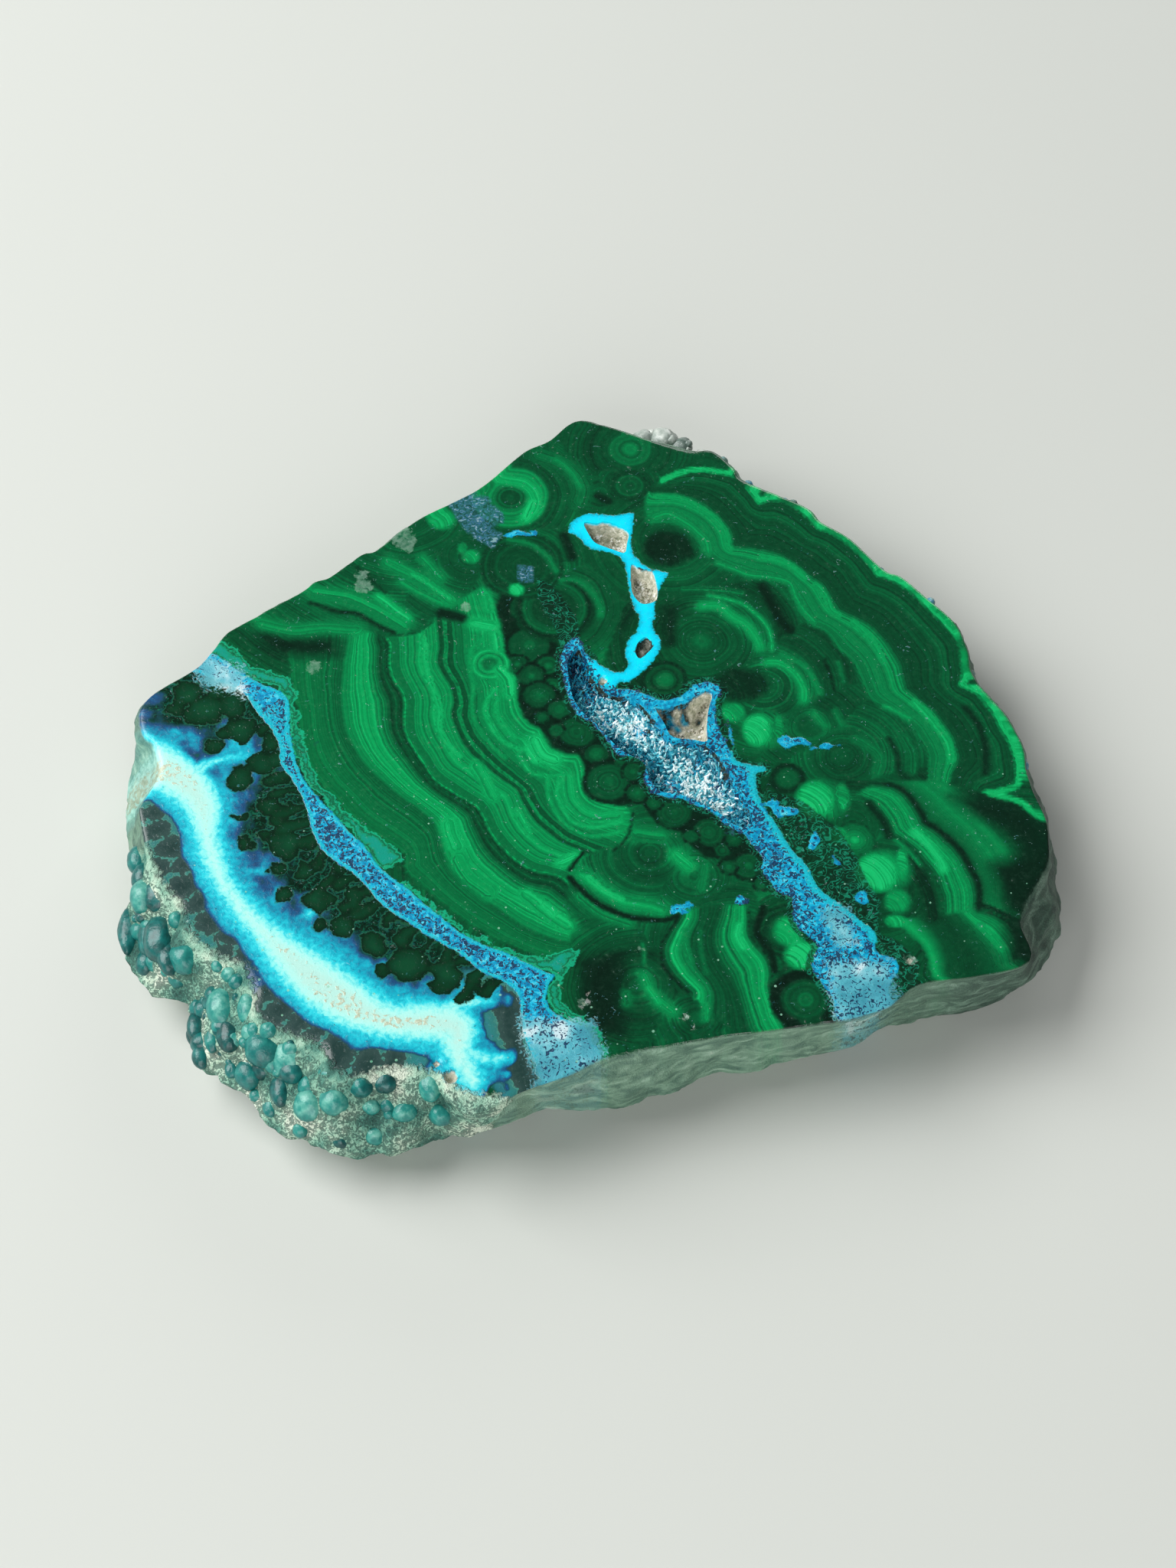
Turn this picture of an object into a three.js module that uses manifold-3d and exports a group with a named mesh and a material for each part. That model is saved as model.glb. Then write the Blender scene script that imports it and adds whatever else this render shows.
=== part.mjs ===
// Malachite and azurite slab: one slice of banded copper stone with a polished face, a sawn
// underside and a rough natural rim, and the crust of fine crystals that lines its open vug.
// Millimetres, +Z up. The origin is under the middle of the stone, on the surface it lies on.
import * as THREE from "three";
import { mergeVertices } from "three/addons/utils/BufferGeometryUtils.js";
import Module from "manifold-3d";

const wasm = await Module();
wasm.setup();

// Driving dimensions
const FACE_HEIGHT = 8; // the polished face above the sawn underside
const WAIST_HEIGHT = 3.5; // where the rough rim reaches furthest out
const ARRIS = 0.18; // the worn edge between polished face and rim
const UNDERCUT = 1.9; // how far the underside stands back from the waist
const UNDERCUT_LEAN = 0.9; // the front is undercut by this much more, the back by this much less
const RIM_ROUGHNESS = 0.38; // height of the ledges and dents of the broken rim
const CENTRE = [0.09, 0.31]; // the point of the outlines that lies over the origin
const STEPS_ROUND = 180; // facets round the stone
const VUG_DEPTH = 1.6; // the shallow vug that the crystal crust lines
const CRUST_GAP = 0.3; // between the crust and the stone that it lines
const CRUST_THICKNESS = 0.4;
const CRYSTAL_REACH = 0.15; // the tips of the crystals stay this far under the polished face
const CRYSTAL_COUNT = 48;

const MALACHITE = new THREE.MeshStandardMaterial({ color: 0x00703f, roughness: 0.18, metalness: 0 });
const DRUSE = new THREE.MeshStandardMaterial({ color: 0x8fb9d6, roughness: 0.3, metalness: 0 });

// The edge of the polished face, counter-clockwise from the right: scalloped where it cuts
// through the outer lobes of the malachite, ragged where it fades into the botryoidal rim.
const FACE_EDGE = [
  [31.7, -0.2], [30.7, 2.5], [28.5, 6.2], [28.25, 8.7], [27.4, 11.3], [25.7, 13.3], [23.7, 15.5],
  [22.5, 16.1], [20, 19.2], [17.8, 20.8], [16.5, 22.4], [12, 24.8], [11.3, 26], [9.7, 27.8],
  [8.1, 27.75], [6, 28.4], [1.3, 30.5], [-1, 30.9], [-3, 28.9], [-5, 27.7], [-7.5, 24.9],
  [-9.5, 23.25], [-12.8, 21.2], [-16, 18.1], [-17.3, 17.6], [-19.5, 15.5], [-20.7, 15],
  [-21.8, 13.9], [-26.2, 10.8], [-27.2, 9.9], [-28.9, 7.1], [-31.7, 4.9], [-32.7, 3.7],
  [-32.9, 2.5], [-32.5, 0.8], [-31.6, 0], [-31, -2.7], [-32.2, -5.2], [-32.3, -6.2],
  [-30.9, -11.2], [-30, -12.6], [-28.7, -13.6], [-28, -16.1], [-26.1, -17.8], [-24.4, -18.4],
  [-23.3, -19.8], [-22.8, -21], [-23, -22.4], [-22, -23.3], [-18.2, -24.8], [-17.6, -26.4],
  [-16.3, -27.7], [-13.5, -26.7], [-10.7, -26.9], [-9.8, -27.9], [-9.5, -29.3], [-8.6, -30.4],
  [-7.5, -30.5], [-4.8, -29], [-1.3, -27.5], [1.1, -26], [7.2, -24.8], [14, -23.75],
  [20.2, -22.5], [23, -20.3], [27, -19.7], [31, -18.4], [30.4, -15.2], [31, -13.2],
  [32.6, -10.5], [33, -8.5], [32.9, -6.3], [32, -3.2],
];

// The widest outline of the rim, at the waist, counter-clockwise from the right.
const WAIST = [
  [32.6, -0.5], [31.5, 3], [29.5, 6.4], [28.6, 10.5], [25.2, 15.2], [21, 19.4], [17.2, 23.2],
  [12.4, 26.4], [9.4, 29.4], [7.2, 30.6], [4.2, 31], [0.5, 31.3], [-1.6, 31.1], [-4.4, 29],
  [-8.2, 25.8], [-12.6, 22.4], [-17, 18.9], [-21.4, 15.3], [-26.8, 11.3], [-30.6, 7.3],
  [-33.5, 4.2], [-33.9, -0.5], [-33.7, -3.8], [-33.3, -7.3], [-32.6, -9.9], [-33.4, -11.5],
  [-33.5, -13.4], [-32.6, -14.9], [-32.1, -16.8], [-31, -18], [-28.4, -19.4], [-28.1, -22.3],
  [-27.4, -24.2], [-25.8, -24.9], [-23.5, -26.8], [-22.2, -28.5], [-21.3, -29.3],
  [-19.4, -30.3], [-16.2, -31.2], [-15.3, -30.8], [-13.8, -31.1], [-12.3, -30.8],
  [-10.5, -29.6], [-7.2, -29.2], [-3.1, -27.7], [1, -27.4], [3.1, -27.1], [6.1, -25.9],
  [8.7, -24.6], [13.3, -23.9], [17.7, -22.6], [21.5, -20.7], [25.6, -19.7], [29.7, -18.4],
  [32, -16.8], [33.3, -15], [34, -13.3], [34, -11.2], [33.9, -6.1], [33.6, -4.3],
];

// The grape-like nodules on the rough lower left rim: [x, y, half width, half height].
const NODULES = [
  [-33, -13.4, 0.7, 1.7], [-31.7, -12, 0.9, 1.2], [-30.7, -12.3, 0.9, 1.1], [-30.3, -15.2, 1.1, 1.8],
  [-31.2, -14.6, 0.8, 1.5], [-31.5, -16.2, 0.7, 0.9], [-28.4, -17.2, 1, 1.1], [-29.6, -16.9, 0.8, 1.2],
  [-25.6, -20.9, 1.1, 1.3], [-23.7, -21.7, 0.6, 1], [-25, -23, 0.8, 1.2], [-26.2, -22.8, 0.6, 1],
  [-27.6, -21.3, 0.6, 1.1], [-27.1, -23.6, 0.6, 0.9], [-24.8, -24.9, 0.5, 0.6], [-23.6, -25.4, 0.9, 1],
  [-22.5, -24.4, 1.2, 1.3], [-20.5, -24.9, 1.3, 1.5], [-20.4, -26.2, 0.8, 0.8], [-21.2, -27.1, 0.7, 1.1],
  [-22, -27.7, 0.5, 0.8], [-19.1, -28.4, 1, 1], [-16.9, -28.8, 1.7, 1], [-13.7, -29.2, 1.6, 1.1],
  [-13.9, -27.5, 0.8, 0.7], [-10.8, -27.5, 0.8, 1.2], [-10.1, -29, 0.8, 0.8], [-17.6, -26.8, 0.9, 0.7],
  [-32.4, -8.6, 0.8, 1], [-31.9, -10.3, 0.8, 1],
];

// Small quartz lumps that show behind the top right edge: [x, y, z, radius].
const LUMPS = [[4.4, 30.8, 5.6, 0.9], [6, 30.7, 5.8, 1], [7.3, 30, 5.8, 0.9], [8.9, 28.9, 5.4, 0.9]];

// The beads of the outer crust stand along the rim between these angles, in degrees.
const BEADS = { from: -4, to: 72, count: 44, radius: 0.42, height: 7.05 };

// The open hollows in the polished face.
const VUG = [
  [-0.7, 8.8], [-1.5, 7.6], [-1.4, 5.8], [-1.1, 4.2], [-0.4, 2.9], [0.8, 1.6], [1.8, 0.2],
  [2.7, -0.7], [4, -1.6], [4.5, -3], [5.2, -4.1], [6.7, -4.4], [7.8, -5], [9.2, -5.8],
  [10.7, -7.1], [11.8, -7], [11.6, -5.2], [10.7, -3.3], [9.9, -1.6], [9.1, -0.2], [7.6, 0.3],
  [6, 0.5], [5.4, 1.8], [4.6, 2.8], [3.6, 4.1], [2.4, 4.5], [1.3, 4.9], [0.4, 6.2], [-0.1, 7.6],
];
const HOLLOWS = [
  {
    depth: 2.6,
    edge: [
      [5, 3.2], [5.8, 3.2], [7.2, 3.7], [8.7, 4.8], [9.2, 4.5], [8.9, 3.2], [8.8, 1], [8.6, 0],
      [7.4, 0.1], [5.9, 0.5], [5.4, 1.9],
    ],
  },
  {
    depth: 2.4,
    edge: [
      [-0.3, 20.7], [1.3, 20.8], [2.2, 20.5], [3.1, 19.8], [3, 18.8], [2.8, 17.8], [1.2, 18.4],
      [0.5, 18.8],
    ],
  },
  {
    depth: 1.9,
    edge: [[3.3, 16.7], [4, 16.25], [4.9, 16.1], [5.3, 14.2], [5.1, 13.2], [4.1, 12.9], [3.4, 13.8]],
  },
  { depth: 0.8, edge: [[4.4, 9.8], [4.9, 9], [4.2, 8], [3.8, 7.8], [3.5, 8.5], [3.8, 9.4]] },
];

const radians = THREE.MathUtils.degToRad;

// A repeatable run of numbers between 0 and 1.
function randomNumbers(seed) {
  let state = seed;
  return () => {
    state = (state * 16807) % 2147483647;
    return state / 2147483647;
  };
}

// The distance from the middle of the stone to an outline, along a direction.
function reach(outline, angle) {
  const dx = Math.cos(angle);
  const dy = Math.sin(angle);
  let furthest = 0;
  outline.forEach(([ax, ay], i) => {
    const [bx, by] = outline[(i + 1) % outline.length];
    const across = dx * (by - ay) - dy * (bx - ax);
    const along = (ax * (by - ay) - ay * (bx - ax)) / across;
    const share = (ax * dy - ay * dx) / across;
    if (along > 0 && share >= 0 && share <= 1) furthest = Math.max(furthest, along);
  });
  return furthest;
}

// Ledges, dents and lumps of the broken rim, as a distance outwards.
function roughness(angle, z) {
  const ledge = Math.sin(2.6 * z + 1.4 * Math.sin(3 * angle) + 0.8 * Math.sin(11 * angle));
  const dent = Math.sin(19 * angle + 1.1 * z) * Math.sin(31 * angle - 0.9 * z + 2);
  const lump = Math.sin(7 * angle + 0.7 * z + 1);
  return RIM_ROUGHNESS * (0.45 * ledge + 0.8 * dent + 0.35 * lump);
}

// The radius of the stone at an angle and height. The rim falls from the polished face to the
// waist in a convex slope, and turns back under the stone below it.
function stoneRadius(angle, z) {
  const face = reach(FACE_EDGE, angle);
  const waist = reach(WAIST, angle);
  if (z >= WAIST_HEIGHT) {
    const fall = (FACE_HEIGHT - z) / (FACE_HEIGHT - WAIST_HEIGHT);
    const rough = roughness(angle, z) * Math.min(1, 3 * fall);
    return face + (waist - face) * fall ** 0.75 + rough;
  }
  const under = 1 - z / WAIST_HEIGHT;
  const inset = UNDERCUT - UNDERCUT_LEAN * Math.sin(angle) + 0.25 * Math.sin(5 * angle + 1);
  return waist - inset * under ** 1.6 + roughness(angle, z) * (1 - 0.7 * under);
}

// The height at which the sloping rim passes a point, for what grows on it.
function rimHeight(x, y) {
  const angle = Math.atan2(y, x);
  const radius = Math.hypot(x, y);
  let z = FACE_HEIGHT;
  while (z > WAIST_HEIGHT && stoneRadius(angle, z) < radius) z -= 0.1;
  return z;
}

// A closed body through rings of points, lowest first, each counter-clockwise seen from above.
function ringSolid(rings) {
  const count = rings[0].length;
  const positions = rings.flat().flatMap((p) => [p.x, p.y, p.z]);
  const index = [];
  for (let level = 0; level + 1 < rings.length; level += 1) {
    for (let i = 0; i < count; i += 1) {
      const a = level * count + i;
      const b = level * count + ((i + 1) % count);
      index.push(a, b, b + count, a, b + count, a + count);
    }
  }
  const top = (rings.length - 1) * count;
  const flat = (ring) => ring.map((p) => new THREE.Vector2(p.x, p.y));
  THREE.ShapeUtils.triangulateShape(flat(rings[0]), []).forEach(([a, b, c]) => index.push(c, b, a));
  THREE.ShapeUtils.triangulateShape(flat(rings.at(-1)), []).forEach(([a, b, c]) => {
    index.push(top + a, top + b, top + c);
  });
  const geometry = new THREE.BufferGeometry();
  geometry.setAttribute("position", new THREE.Float32BufferAttribute(positions, 3));
  geometry.setIndex(index);
  return geometry;
}

// A three.js geometry as a solid that can be joined and cut.
function solid(geometry) {
  const bare = geometry.clone();
  bare.deleteAttribute("normal");
  bare.deleteAttribute("uv");
  const merged = mergeVertices(bare, 1e-4);
  return new wasm.Manifold(
    new wasm.Mesh({
      numProp: 3,
      vertProperties: merged.attributes.position.array,
      triVerts: new Uint32Array(merged.index.array),
    }),
  );
}

// A solid as a named mesh of the part, moved so that its box is centred over the origin.
function partMesh(name, body, material) {
  const { numProp, numVert, vertProperties, triVerts } = body.getMesh();
  const positions = new Float32Array(numVert * 3);
  for (let i = 0; i < numVert; i += 1) {
    positions.set(vertProperties.subarray(i * numProp, i * numProp + 3), i * 3);
  }
  const geometry = new THREE.BufferGeometry();
  geometry.setAttribute("position", new THREE.BufferAttribute(positions, 3));
  geometry.setIndex(new THREE.BufferAttribute(triVerts, 1));
  geometry.translate(-CENTRE[0], -CENTRE[1], 0);
  geometry.computeVertexNormals();
  const mesh = new THREE.Mesh(geometry, material);
  mesh.name = name;
  return mesh;
}

function ellipsoid(x, y, z, size, detail, turn = 0) {
  const ball = new THREE.IcosahedronGeometry(1, detail);
  ball.rotateY(turn);
  ball.scale(size[0], size[1], size[2]);
  ball.translate(x, y, z);
  return solid(ball);
}

// An outline moved inwards by a distance, corner by corner; a negative distance moves it out.
function inset(outline, distance) {
  const corners = outline.map(([x, y]) => new THREE.Vector2(x, y));
  const turn = THREE.ShapeUtils.area(corners) > 0 ? 1 : -1;
  return corners.map((corner, i) => {
    const before = corners.at(i - 1);
    const after = corners[(i + 1) % corners.length];
    const along = after.clone().sub(before).normalize();
    return [corner.x - turn * distance * along.y, corner.y + turn * distance * along.x];
  });
}

function prism(outline, low, high) {
  const corners = outline.map(([x, y]) => new THREE.Vector2(x, y));
  const shape = new THREE.Shape(corners);
  const block = new THREE.ExtrudeGeometry(shape, { depth: high - low, bevelEnabled: false });
  block.translate(0, 0, low);
  return solid(block);
}

// The space of an open hollow, which narrows unevenly towards its floor.
function hollowSpace({ depth, edge }) {
  const corners = edge.map(([x, y]) => new THREE.Vector2(x, y));
  const ordered = THREE.ShapeUtils.area(corners) > 0 ? corners : corners.reverse();
  const sum = ordered.reduce((total, p) => total.add(p), new THREE.Vector2());
  const middle = sum.divideScalar(ordered.length);
  const levels = [
    { share: 0.62, z: FACE_HEIGHT - depth },
    { share: 0.86, z: FACE_HEIGHT - 0.55 * depth },
    { share: 1, z: FACE_HEIGHT },
    { share: 1, z: FACE_HEIGHT + 1 },
  ];
  const rings = levels.map(({ share, z }) =>
    ordered.map((p, i) => {
      const uneven = share < 1 ? share + 0.07 * Math.sin(2.3 * i + 5 * z) : share;
      return new THREE.Vector3(
        middle.x + (p.x - middle.x) * uneven,
        middle.y + (p.y - middle.y) * uneven,
        share < 0.7 ? z + 0.3 * Math.sin(1.7 * i) : z,
      );
    }),
  );
  return solid(ringSolid(rings));
}

// The slice itself: underside, undercut, waist, rim slope, worn arris and polished face.
function slice() {
  const heights = [0, 0.7, 2.1, WAIST_HEIGHT, 4.6, 5.7, 6.8, FACE_HEIGHT - ARRIS, FACE_HEIGHT];
  const rings = heights.map((z) =>
    Array.from({ length: STEPS_ROUND }, (_, i) => {
      const angle = (i / STEPS_ROUND) * 2 * Math.PI;
      const worn = z === FACE_HEIGHT ? ARRIS : 0;
      const radius = stoneRadius(angle, z) - worn;
      return new THREE.Vector3(radius * Math.cos(angle), radius * Math.sin(angle), z);
    }),
  );
  return solid(ringSolid(rings));
}

// The nodules sit half sunk in the slope of the rim.
function nodules() {
  return NODULES.map(([x, y, width, height], i) => {
    const shallow = Math.min(width, height);
    const z = Math.min(rimHeight(x, y), FACE_HEIGHT - shallow) - 0.32 * shallow;
    return ellipsoid(x, y, z, [width, height, shallow], shallow > 1.1 ? 2 : 1, i);
  });
}

function rimBeads() {
  const random = randomNumbers(41);
  return Array.from({ length: BEADS.count }, (_, i) => {
    const angle = radians(BEADS.from + ((BEADS.to - BEADS.from) * (i + 0.6 * random())) / BEADS.count);
    const size = BEADS.radius * (0.7 + 0.6 * random());
    const z = BEADS.height - 0.9 * random();
    const radius = stoneRadius(angle, z);
    return ellipsoid(radius * Math.cos(angle), radius * Math.sin(angle), z, [size, size, size], 0, i);
  });
}

function stone() {
  const lumps = LUMPS.map(([x, y, z, size], i) => ellipsoid(x, y, z, [size, size, size], 1, i));
  const grown = wasm.Manifold.union([slice(), ...nodules(), ...rimBeads(), ...lumps]);
  const hollows = wasm.Manifold.union([
    prism(VUG, FACE_HEIGHT - VUG_DEPTH, FACE_HEIGHT + 1),
    ...HOLLOWS.map(hollowSpace),
  ]);
  return grown.subtract(hollows);
}

// A thin crust on the floor of the vug, set with pointed crystals that lean all ways.
function crust() {
  const random = randomNumbers(7);
  const lining = inset(VUG, CRUST_GAP);
  const floor = FACE_HEIGHT - VUG_DEPTH + CRUST_GAP;
  const tips = FACE_HEIGHT - CRYSTAL_REACH;
  const plate = prism(lining, floor, floor + CRUST_THICKNESS);
  const length = tips - floor - CRUST_THICKNESS / 2;
  const crystals = [];
  while (crystals.length < CRYSTAL_COUNT) {
    const x = THREE.MathUtils.lerp(-1.5, 11.8, random());
    const y = THREE.MathUtils.lerp(-7.1, 8.8, random());
    const width = 0.3 + 0.3 * random();
    const point = new THREE.CylinderGeometry(0.05, width, length * (0.7 + 0.3 * random()), 5, 1);
    point.rotateX(Math.PI / 2);
    point.translate(0, 0, point.parameters.height / 2);
    point.rotateX(radians(40 * random() - 20));
    point.rotateY(radians(40 * random() - 20));
    point.translate(x, y, floor + CRUST_THICKNESS / 2);
    const crystal = solid(point);
    if (crystal.intersect(plate).volume() > 0.3 * crystal.volume() * (CRUST_THICKNESS / length)) {
      crystals.push(crystal);
    }
  }
  const space = prism(lining, floor, tips).subtract(hollowSpace(HOLLOWS[0]));
  return wasm.Manifold.union([plate, ...crystals]).intersect(space);
}

const part = new THREE.Group();
part.add(partMesh("slab", stone(), MALACHITE));
part.add(partMesh("druse_crust", crust(), DRUSE));

export default part;
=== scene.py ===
import math

import bmesh
import bpy
import numpy as np
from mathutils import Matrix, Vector
from mathutils.geometry import delaunay_2d_cdt


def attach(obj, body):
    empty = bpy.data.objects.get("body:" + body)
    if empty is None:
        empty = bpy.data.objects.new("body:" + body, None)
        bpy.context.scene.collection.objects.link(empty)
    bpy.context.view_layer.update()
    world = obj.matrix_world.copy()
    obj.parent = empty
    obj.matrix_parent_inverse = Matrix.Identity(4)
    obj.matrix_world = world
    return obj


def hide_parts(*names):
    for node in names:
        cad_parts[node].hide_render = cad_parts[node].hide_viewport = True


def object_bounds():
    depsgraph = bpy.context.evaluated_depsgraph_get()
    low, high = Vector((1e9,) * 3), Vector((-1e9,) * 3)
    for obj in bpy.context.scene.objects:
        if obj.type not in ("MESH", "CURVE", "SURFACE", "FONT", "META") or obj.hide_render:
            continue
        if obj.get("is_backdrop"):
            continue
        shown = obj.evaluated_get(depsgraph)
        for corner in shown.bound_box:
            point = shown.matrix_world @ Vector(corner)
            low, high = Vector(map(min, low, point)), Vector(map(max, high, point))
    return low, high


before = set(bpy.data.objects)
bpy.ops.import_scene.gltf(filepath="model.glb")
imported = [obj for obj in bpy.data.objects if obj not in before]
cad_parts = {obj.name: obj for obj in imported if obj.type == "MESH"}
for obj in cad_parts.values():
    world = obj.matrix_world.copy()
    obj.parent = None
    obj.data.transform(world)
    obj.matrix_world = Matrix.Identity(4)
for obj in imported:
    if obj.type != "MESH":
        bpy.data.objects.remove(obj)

bl_info = {
    "name": "Malachite and Azurite Slab",
    "version": (1, 0, 0),
    "blender": (4, 5, 0),
    "location": "View3D > Sidebar > Stone Slab",
    "description": "A polished slice of banded malachite with azurite and chrysocolla veins",
    "category": "Object",
}

MM = 0.001
CAD_LOW, CAD_HIGH = (np.array(corner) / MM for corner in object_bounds())
BODY = "root"

# The outlines and the pattern of the face are drawn on a plan, in millimetres, x to the right
# and y away from the viewer. This point of the plan lies over the origin.
CENTRE = np.array([0.09, 0.31])
FACE_HEIGHT = 8.0
UNDERCUT_LEAN = 0.9  # the front is undercut by this much more, the back by this much less

# The edge of the polished face, counter-clockwise from the right: scalloped where it cuts
# through the outer lobes of the malachite, ragged where it fades into the botryoidal rim.
FACE_EDGE = [
    (31.7, -0.2), (30.7, 2.5), (28.5, 6.2), (28.25, 8.7), (27.4, 11.3), (25.7, 13.3),
    (23.7, 15.5), (22.5, 16.1), (20, 19.2), (17.8, 20.8), (16.5, 22.4), (12, 24.8), (11.3, 26),
    (9.7, 27.8), (8.1, 27.75), (6, 28.4), (1.3, 30.5), (-1, 30.9), (-3, 28.9), (-5, 27.7),
    (-7.5, 24.9), (-9.5, 23.25), (-12.8, 21.2), (-16, 18.1), (-17.3, 17.6), (-19.5, 15.5),
    (-20.7, 15), (-21.8, 13.9), (-26.2, 10.8), (-27.2, 9.9), (-28.9, 7.1), (-31.7, 4.9),
    (-32.7, 3.7), (-32.9, 2.5), (-32.5, 0.8), (-31.6, 0), (-31, -2.7), (-32.2, -5.2),
    (-32.3, -6.2), (-30.9, -11.2), (-30, -12.6), (-28.7, -13.6), (-28, -16.1), (-26.1, -17.8),
    (-24.4, -18.4), (-23.3, -19.8), (-22.8, -21), (-23, -22.4), (-22, -23.3), (-18.2, -24.8),
    (-17.6, -26.4), (-16.3, -27.7), (-13.5, -26.7), (-10.7, -26.9), (-9.8, -27.9),
    (-9.5, -29.3), (-8.6, -30.4), (-7.5, -30.5), (-4.8, -29), (-1.3, -27.5), (1.1, -26),
    (7.2, -24.8), (14, -23.75), (20.2, -22.5), (23, -20.3), (27, -19.7), (31, -18.4),
    (30.4, -15.2), (31, -13.2), (32.6, -10.5), (33, -8.5), (32.9, -6.3), (32, -3.2),
]

# The widest outline of the rim, at the waist, counter-clockwise from the right.
WAIST = [
    (32.6, -0.5), (31.5, 3), (29.5, 6.4), (28.6, 10.5), (25.2, 15.2), (21, 19.4), (17.2, 23.2),
    (12.4, 26.4), (9.4, 29.4), (7.2, 30.6), (4.2, 31), (0.5, 31.3), (-1.6, 31.1), (-4.4, 29),
    (-8.2, 25.8), (-12.6, 22.4), (-17, 18.9), (-21.4, 15.3), (-26.8, 11.3), (-30.6, 7.3),
    (-33.5, 4.2), (-33.9, -0.5), (-33.7, -3.8), (-33.3, -7.3), (-32.6, -9.9), (-33.4, -11.5),
    (-33.5, -13.4), (-32.6, -14.9), (-32.1, -16.8), (-31, -18), (-28.4, -19.4), (-28.1, -22.3),
    (-27.4, -24.2), (-25.8, -24.9), (-23.5, -26.8), (-22.2, -28.5), (-21.3, -29.3),
    (-19.4, -30.3), (-16.2, -31.2), (-15.3, -30.8), (-13.8, -31.1), (-12.3, -30.8),
    (-10.5, -29.6), (-7.2, -29.2), (-3.1, -27.7), (1, -27.4), (3.1, -27.1), (6.1, -25.9),
    (8.7, -24.6), (13.3, -23.9), (17.7, -22.6), (21.5, -20.7), (25.6, -19.7), (29.7, -18.4),
    (32, -16.8), (33.3, -15), (34, -13.3), (34, -11.2), (33.9, -6.1), (33.6, -4.3),
]

# The grape-like nodules on the rough lower left rim: (x, y, half width, half height).
NODULES = [
    (-33, -13.4, 0.7, 1.7), (-31.7, -12, 0.9, 1.2), (-30.7, -12.3, 0.9, 1.1),
    (-30.3, -15.2, 1.1, 1.8), (-31.2, -14.6, 0.8, 1.5), (-31.5, -16.2, 0.7, 0.9),
    (-28.4, -17.2, 1, 1.1), (-29.6, -16.9, 0.8, 1.2), (-25.6, -20.9, 1.1, 1.3),
    (-23.7, -21.7, 0.6, 1), (-25, -23, 0.8, 1.2), (-26.2, -22.8, 0.6, 1),
    (-27.6, -21.3, 0.6, 1.1), (-27.1, -23.6, 0.6, 0.9), (-24.8, -24.9, 0.5, 0.6),
    (-23.6, -25.4, 0.9, 1), (-22.5, -24.4, 1.2, 1.3), (-20.5, -24.9, 1.3, 1.5),
    (-20.4, -26.2, 0.8, 0.8), (-21.2, -27.1, 0.7, 1.1), (-22, -27.7, 0.5, 0.8),
    (-19.1, -28.4, 1, 1), (-17.4, -28.6, 0.9, 0.9), (-12.6, -29, 0.8, 0.7),
    (-13.9, -27.5, 0.8, 0.7), (-10.8, -27.5, 0.8, 1.2), (-10.1, -29, 0.8, 0.8),
    (-17.6, -26.8, 0.9, 0.7), (-32.4, -8.6, 0.8, 1), (-31.9, -10.3, 0.8, 1),
]

# Smaller ones fill the gaps of the rim between these angles (radians) and heights.
SMALL_NODULES = 60
SMALL_FROM, SMALL_TO = (-2.78, 3.4), (-1.95, 7.3)

# Small quartz lumps that show behind the top right edge: (x, y, z, radius).
LUMPS = [(4.4, 30.8, 5.6, 0.9), (6, 30.7, 5.8, 1), (7.3, 30, 5.8, 0.9), (8.9, 28.9, 5.4, 0.9)]

# The open vug, which the crystal crust lines, and the open hollows with their depths.
VUG = [
    (-0.7, 8.8), (-1.5, 7.6), (-1.4, 5.8), (-1.1, 4.2), (-0.4, 2.9), (0.8, 1.6), (1.8, 0.2),
    (2.7, -0.7), (4, -1.6), (4.5, -3), (5.2, -4.1), (6.7, -4.4), (7.8, -5), (9.2, -5.8),
    (10.7, -7.1), (11.8, -7), (11.6, -5.2), (10.7, -3.3), (9.9, -1.6), (9.1, -0.2), (7.6, 0.3),
    (6, 0.5), (5.4, 1.8), (4.6, 2.8), (3.6, 4.1), (2.4, 4.5), (1.3, 4.9), (0.4, 6.2), (-0.1, 7.6),
]
VUG_DEPTH = 1.5
HOLLOWS = [
    (2.5, [(5, 3.2), (5.8, 3.2), (7.2, 3.7), (7.9, 4.35), (8.7, 4.8), (9.2, 4.5), (8.9, 3.2),
           (8.75, 1.5), (8.7, 0.3), (7.6, 0.45), (6.6, 0.55), (6, 0.9), (5.6, 1.9)]),
    (2.3, [(-0.3, 20.7), (0.6, 20.65), (1.3, 20.8), (2.2, 20.5), (3.1, 19.8), (3, 18.8),
           (2.8, 17.8), (2.1, 18), (1.2, 18.4), (0.5, 18.8), (0, 19.7)]),
    (1.8, [(3.3, 16.7), (4, 16.25), (4.85, 16.1), (5.15, 15.2), (5.3, 14.2), (5.1, 13.2),
           (4.1, 12.9), (3.4, 13.8), (3.25, 15)]),
    (0.75, [(4.4, 9.8), (4.9, 9), (4.25, 8.1), (3.8, 7.8), (3.5, 8.5), (3.8, 9.35)]),
]
# Where the lining of the hollows is turquoise: (x, y, radius).
BLUE_IN_HOLLOW = [(5.9, 3, 0.6), (6.6, 2.6, 0.45), (7.2, 3.3, 0.5), (7, 1.9, 0.3), (8.2, 3.5, 0.4),
                  (6.4, 1.4, 0.3), (7.9, 1.2, 0.3)]
# Painted shade in the gaps between the grains of the hollows: the seed of its noise, and the level above which it
# shows.
SHADED_GAPS = 22, 0.15  # the seed of the noise that darkens the hollows, and where it starts to
# Small pits in the face: (x, y, radius, depth).
PITS = [(1.1, 5.8, 0.35, 0.7), (22.5, -18.3, 0.35, 0.4), (-0.33, -21.8, 0.35, 0.3),
        (0, -21, 0.2, 0.3), (-9.4, -27.6, 0.5, 0.9), (-10.4, -26.6, 0.3, 0.6),
        (6.7, -22.9, 0.2, 0.25), (7.2, -23.75, 0.2, 0.25)]

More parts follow.
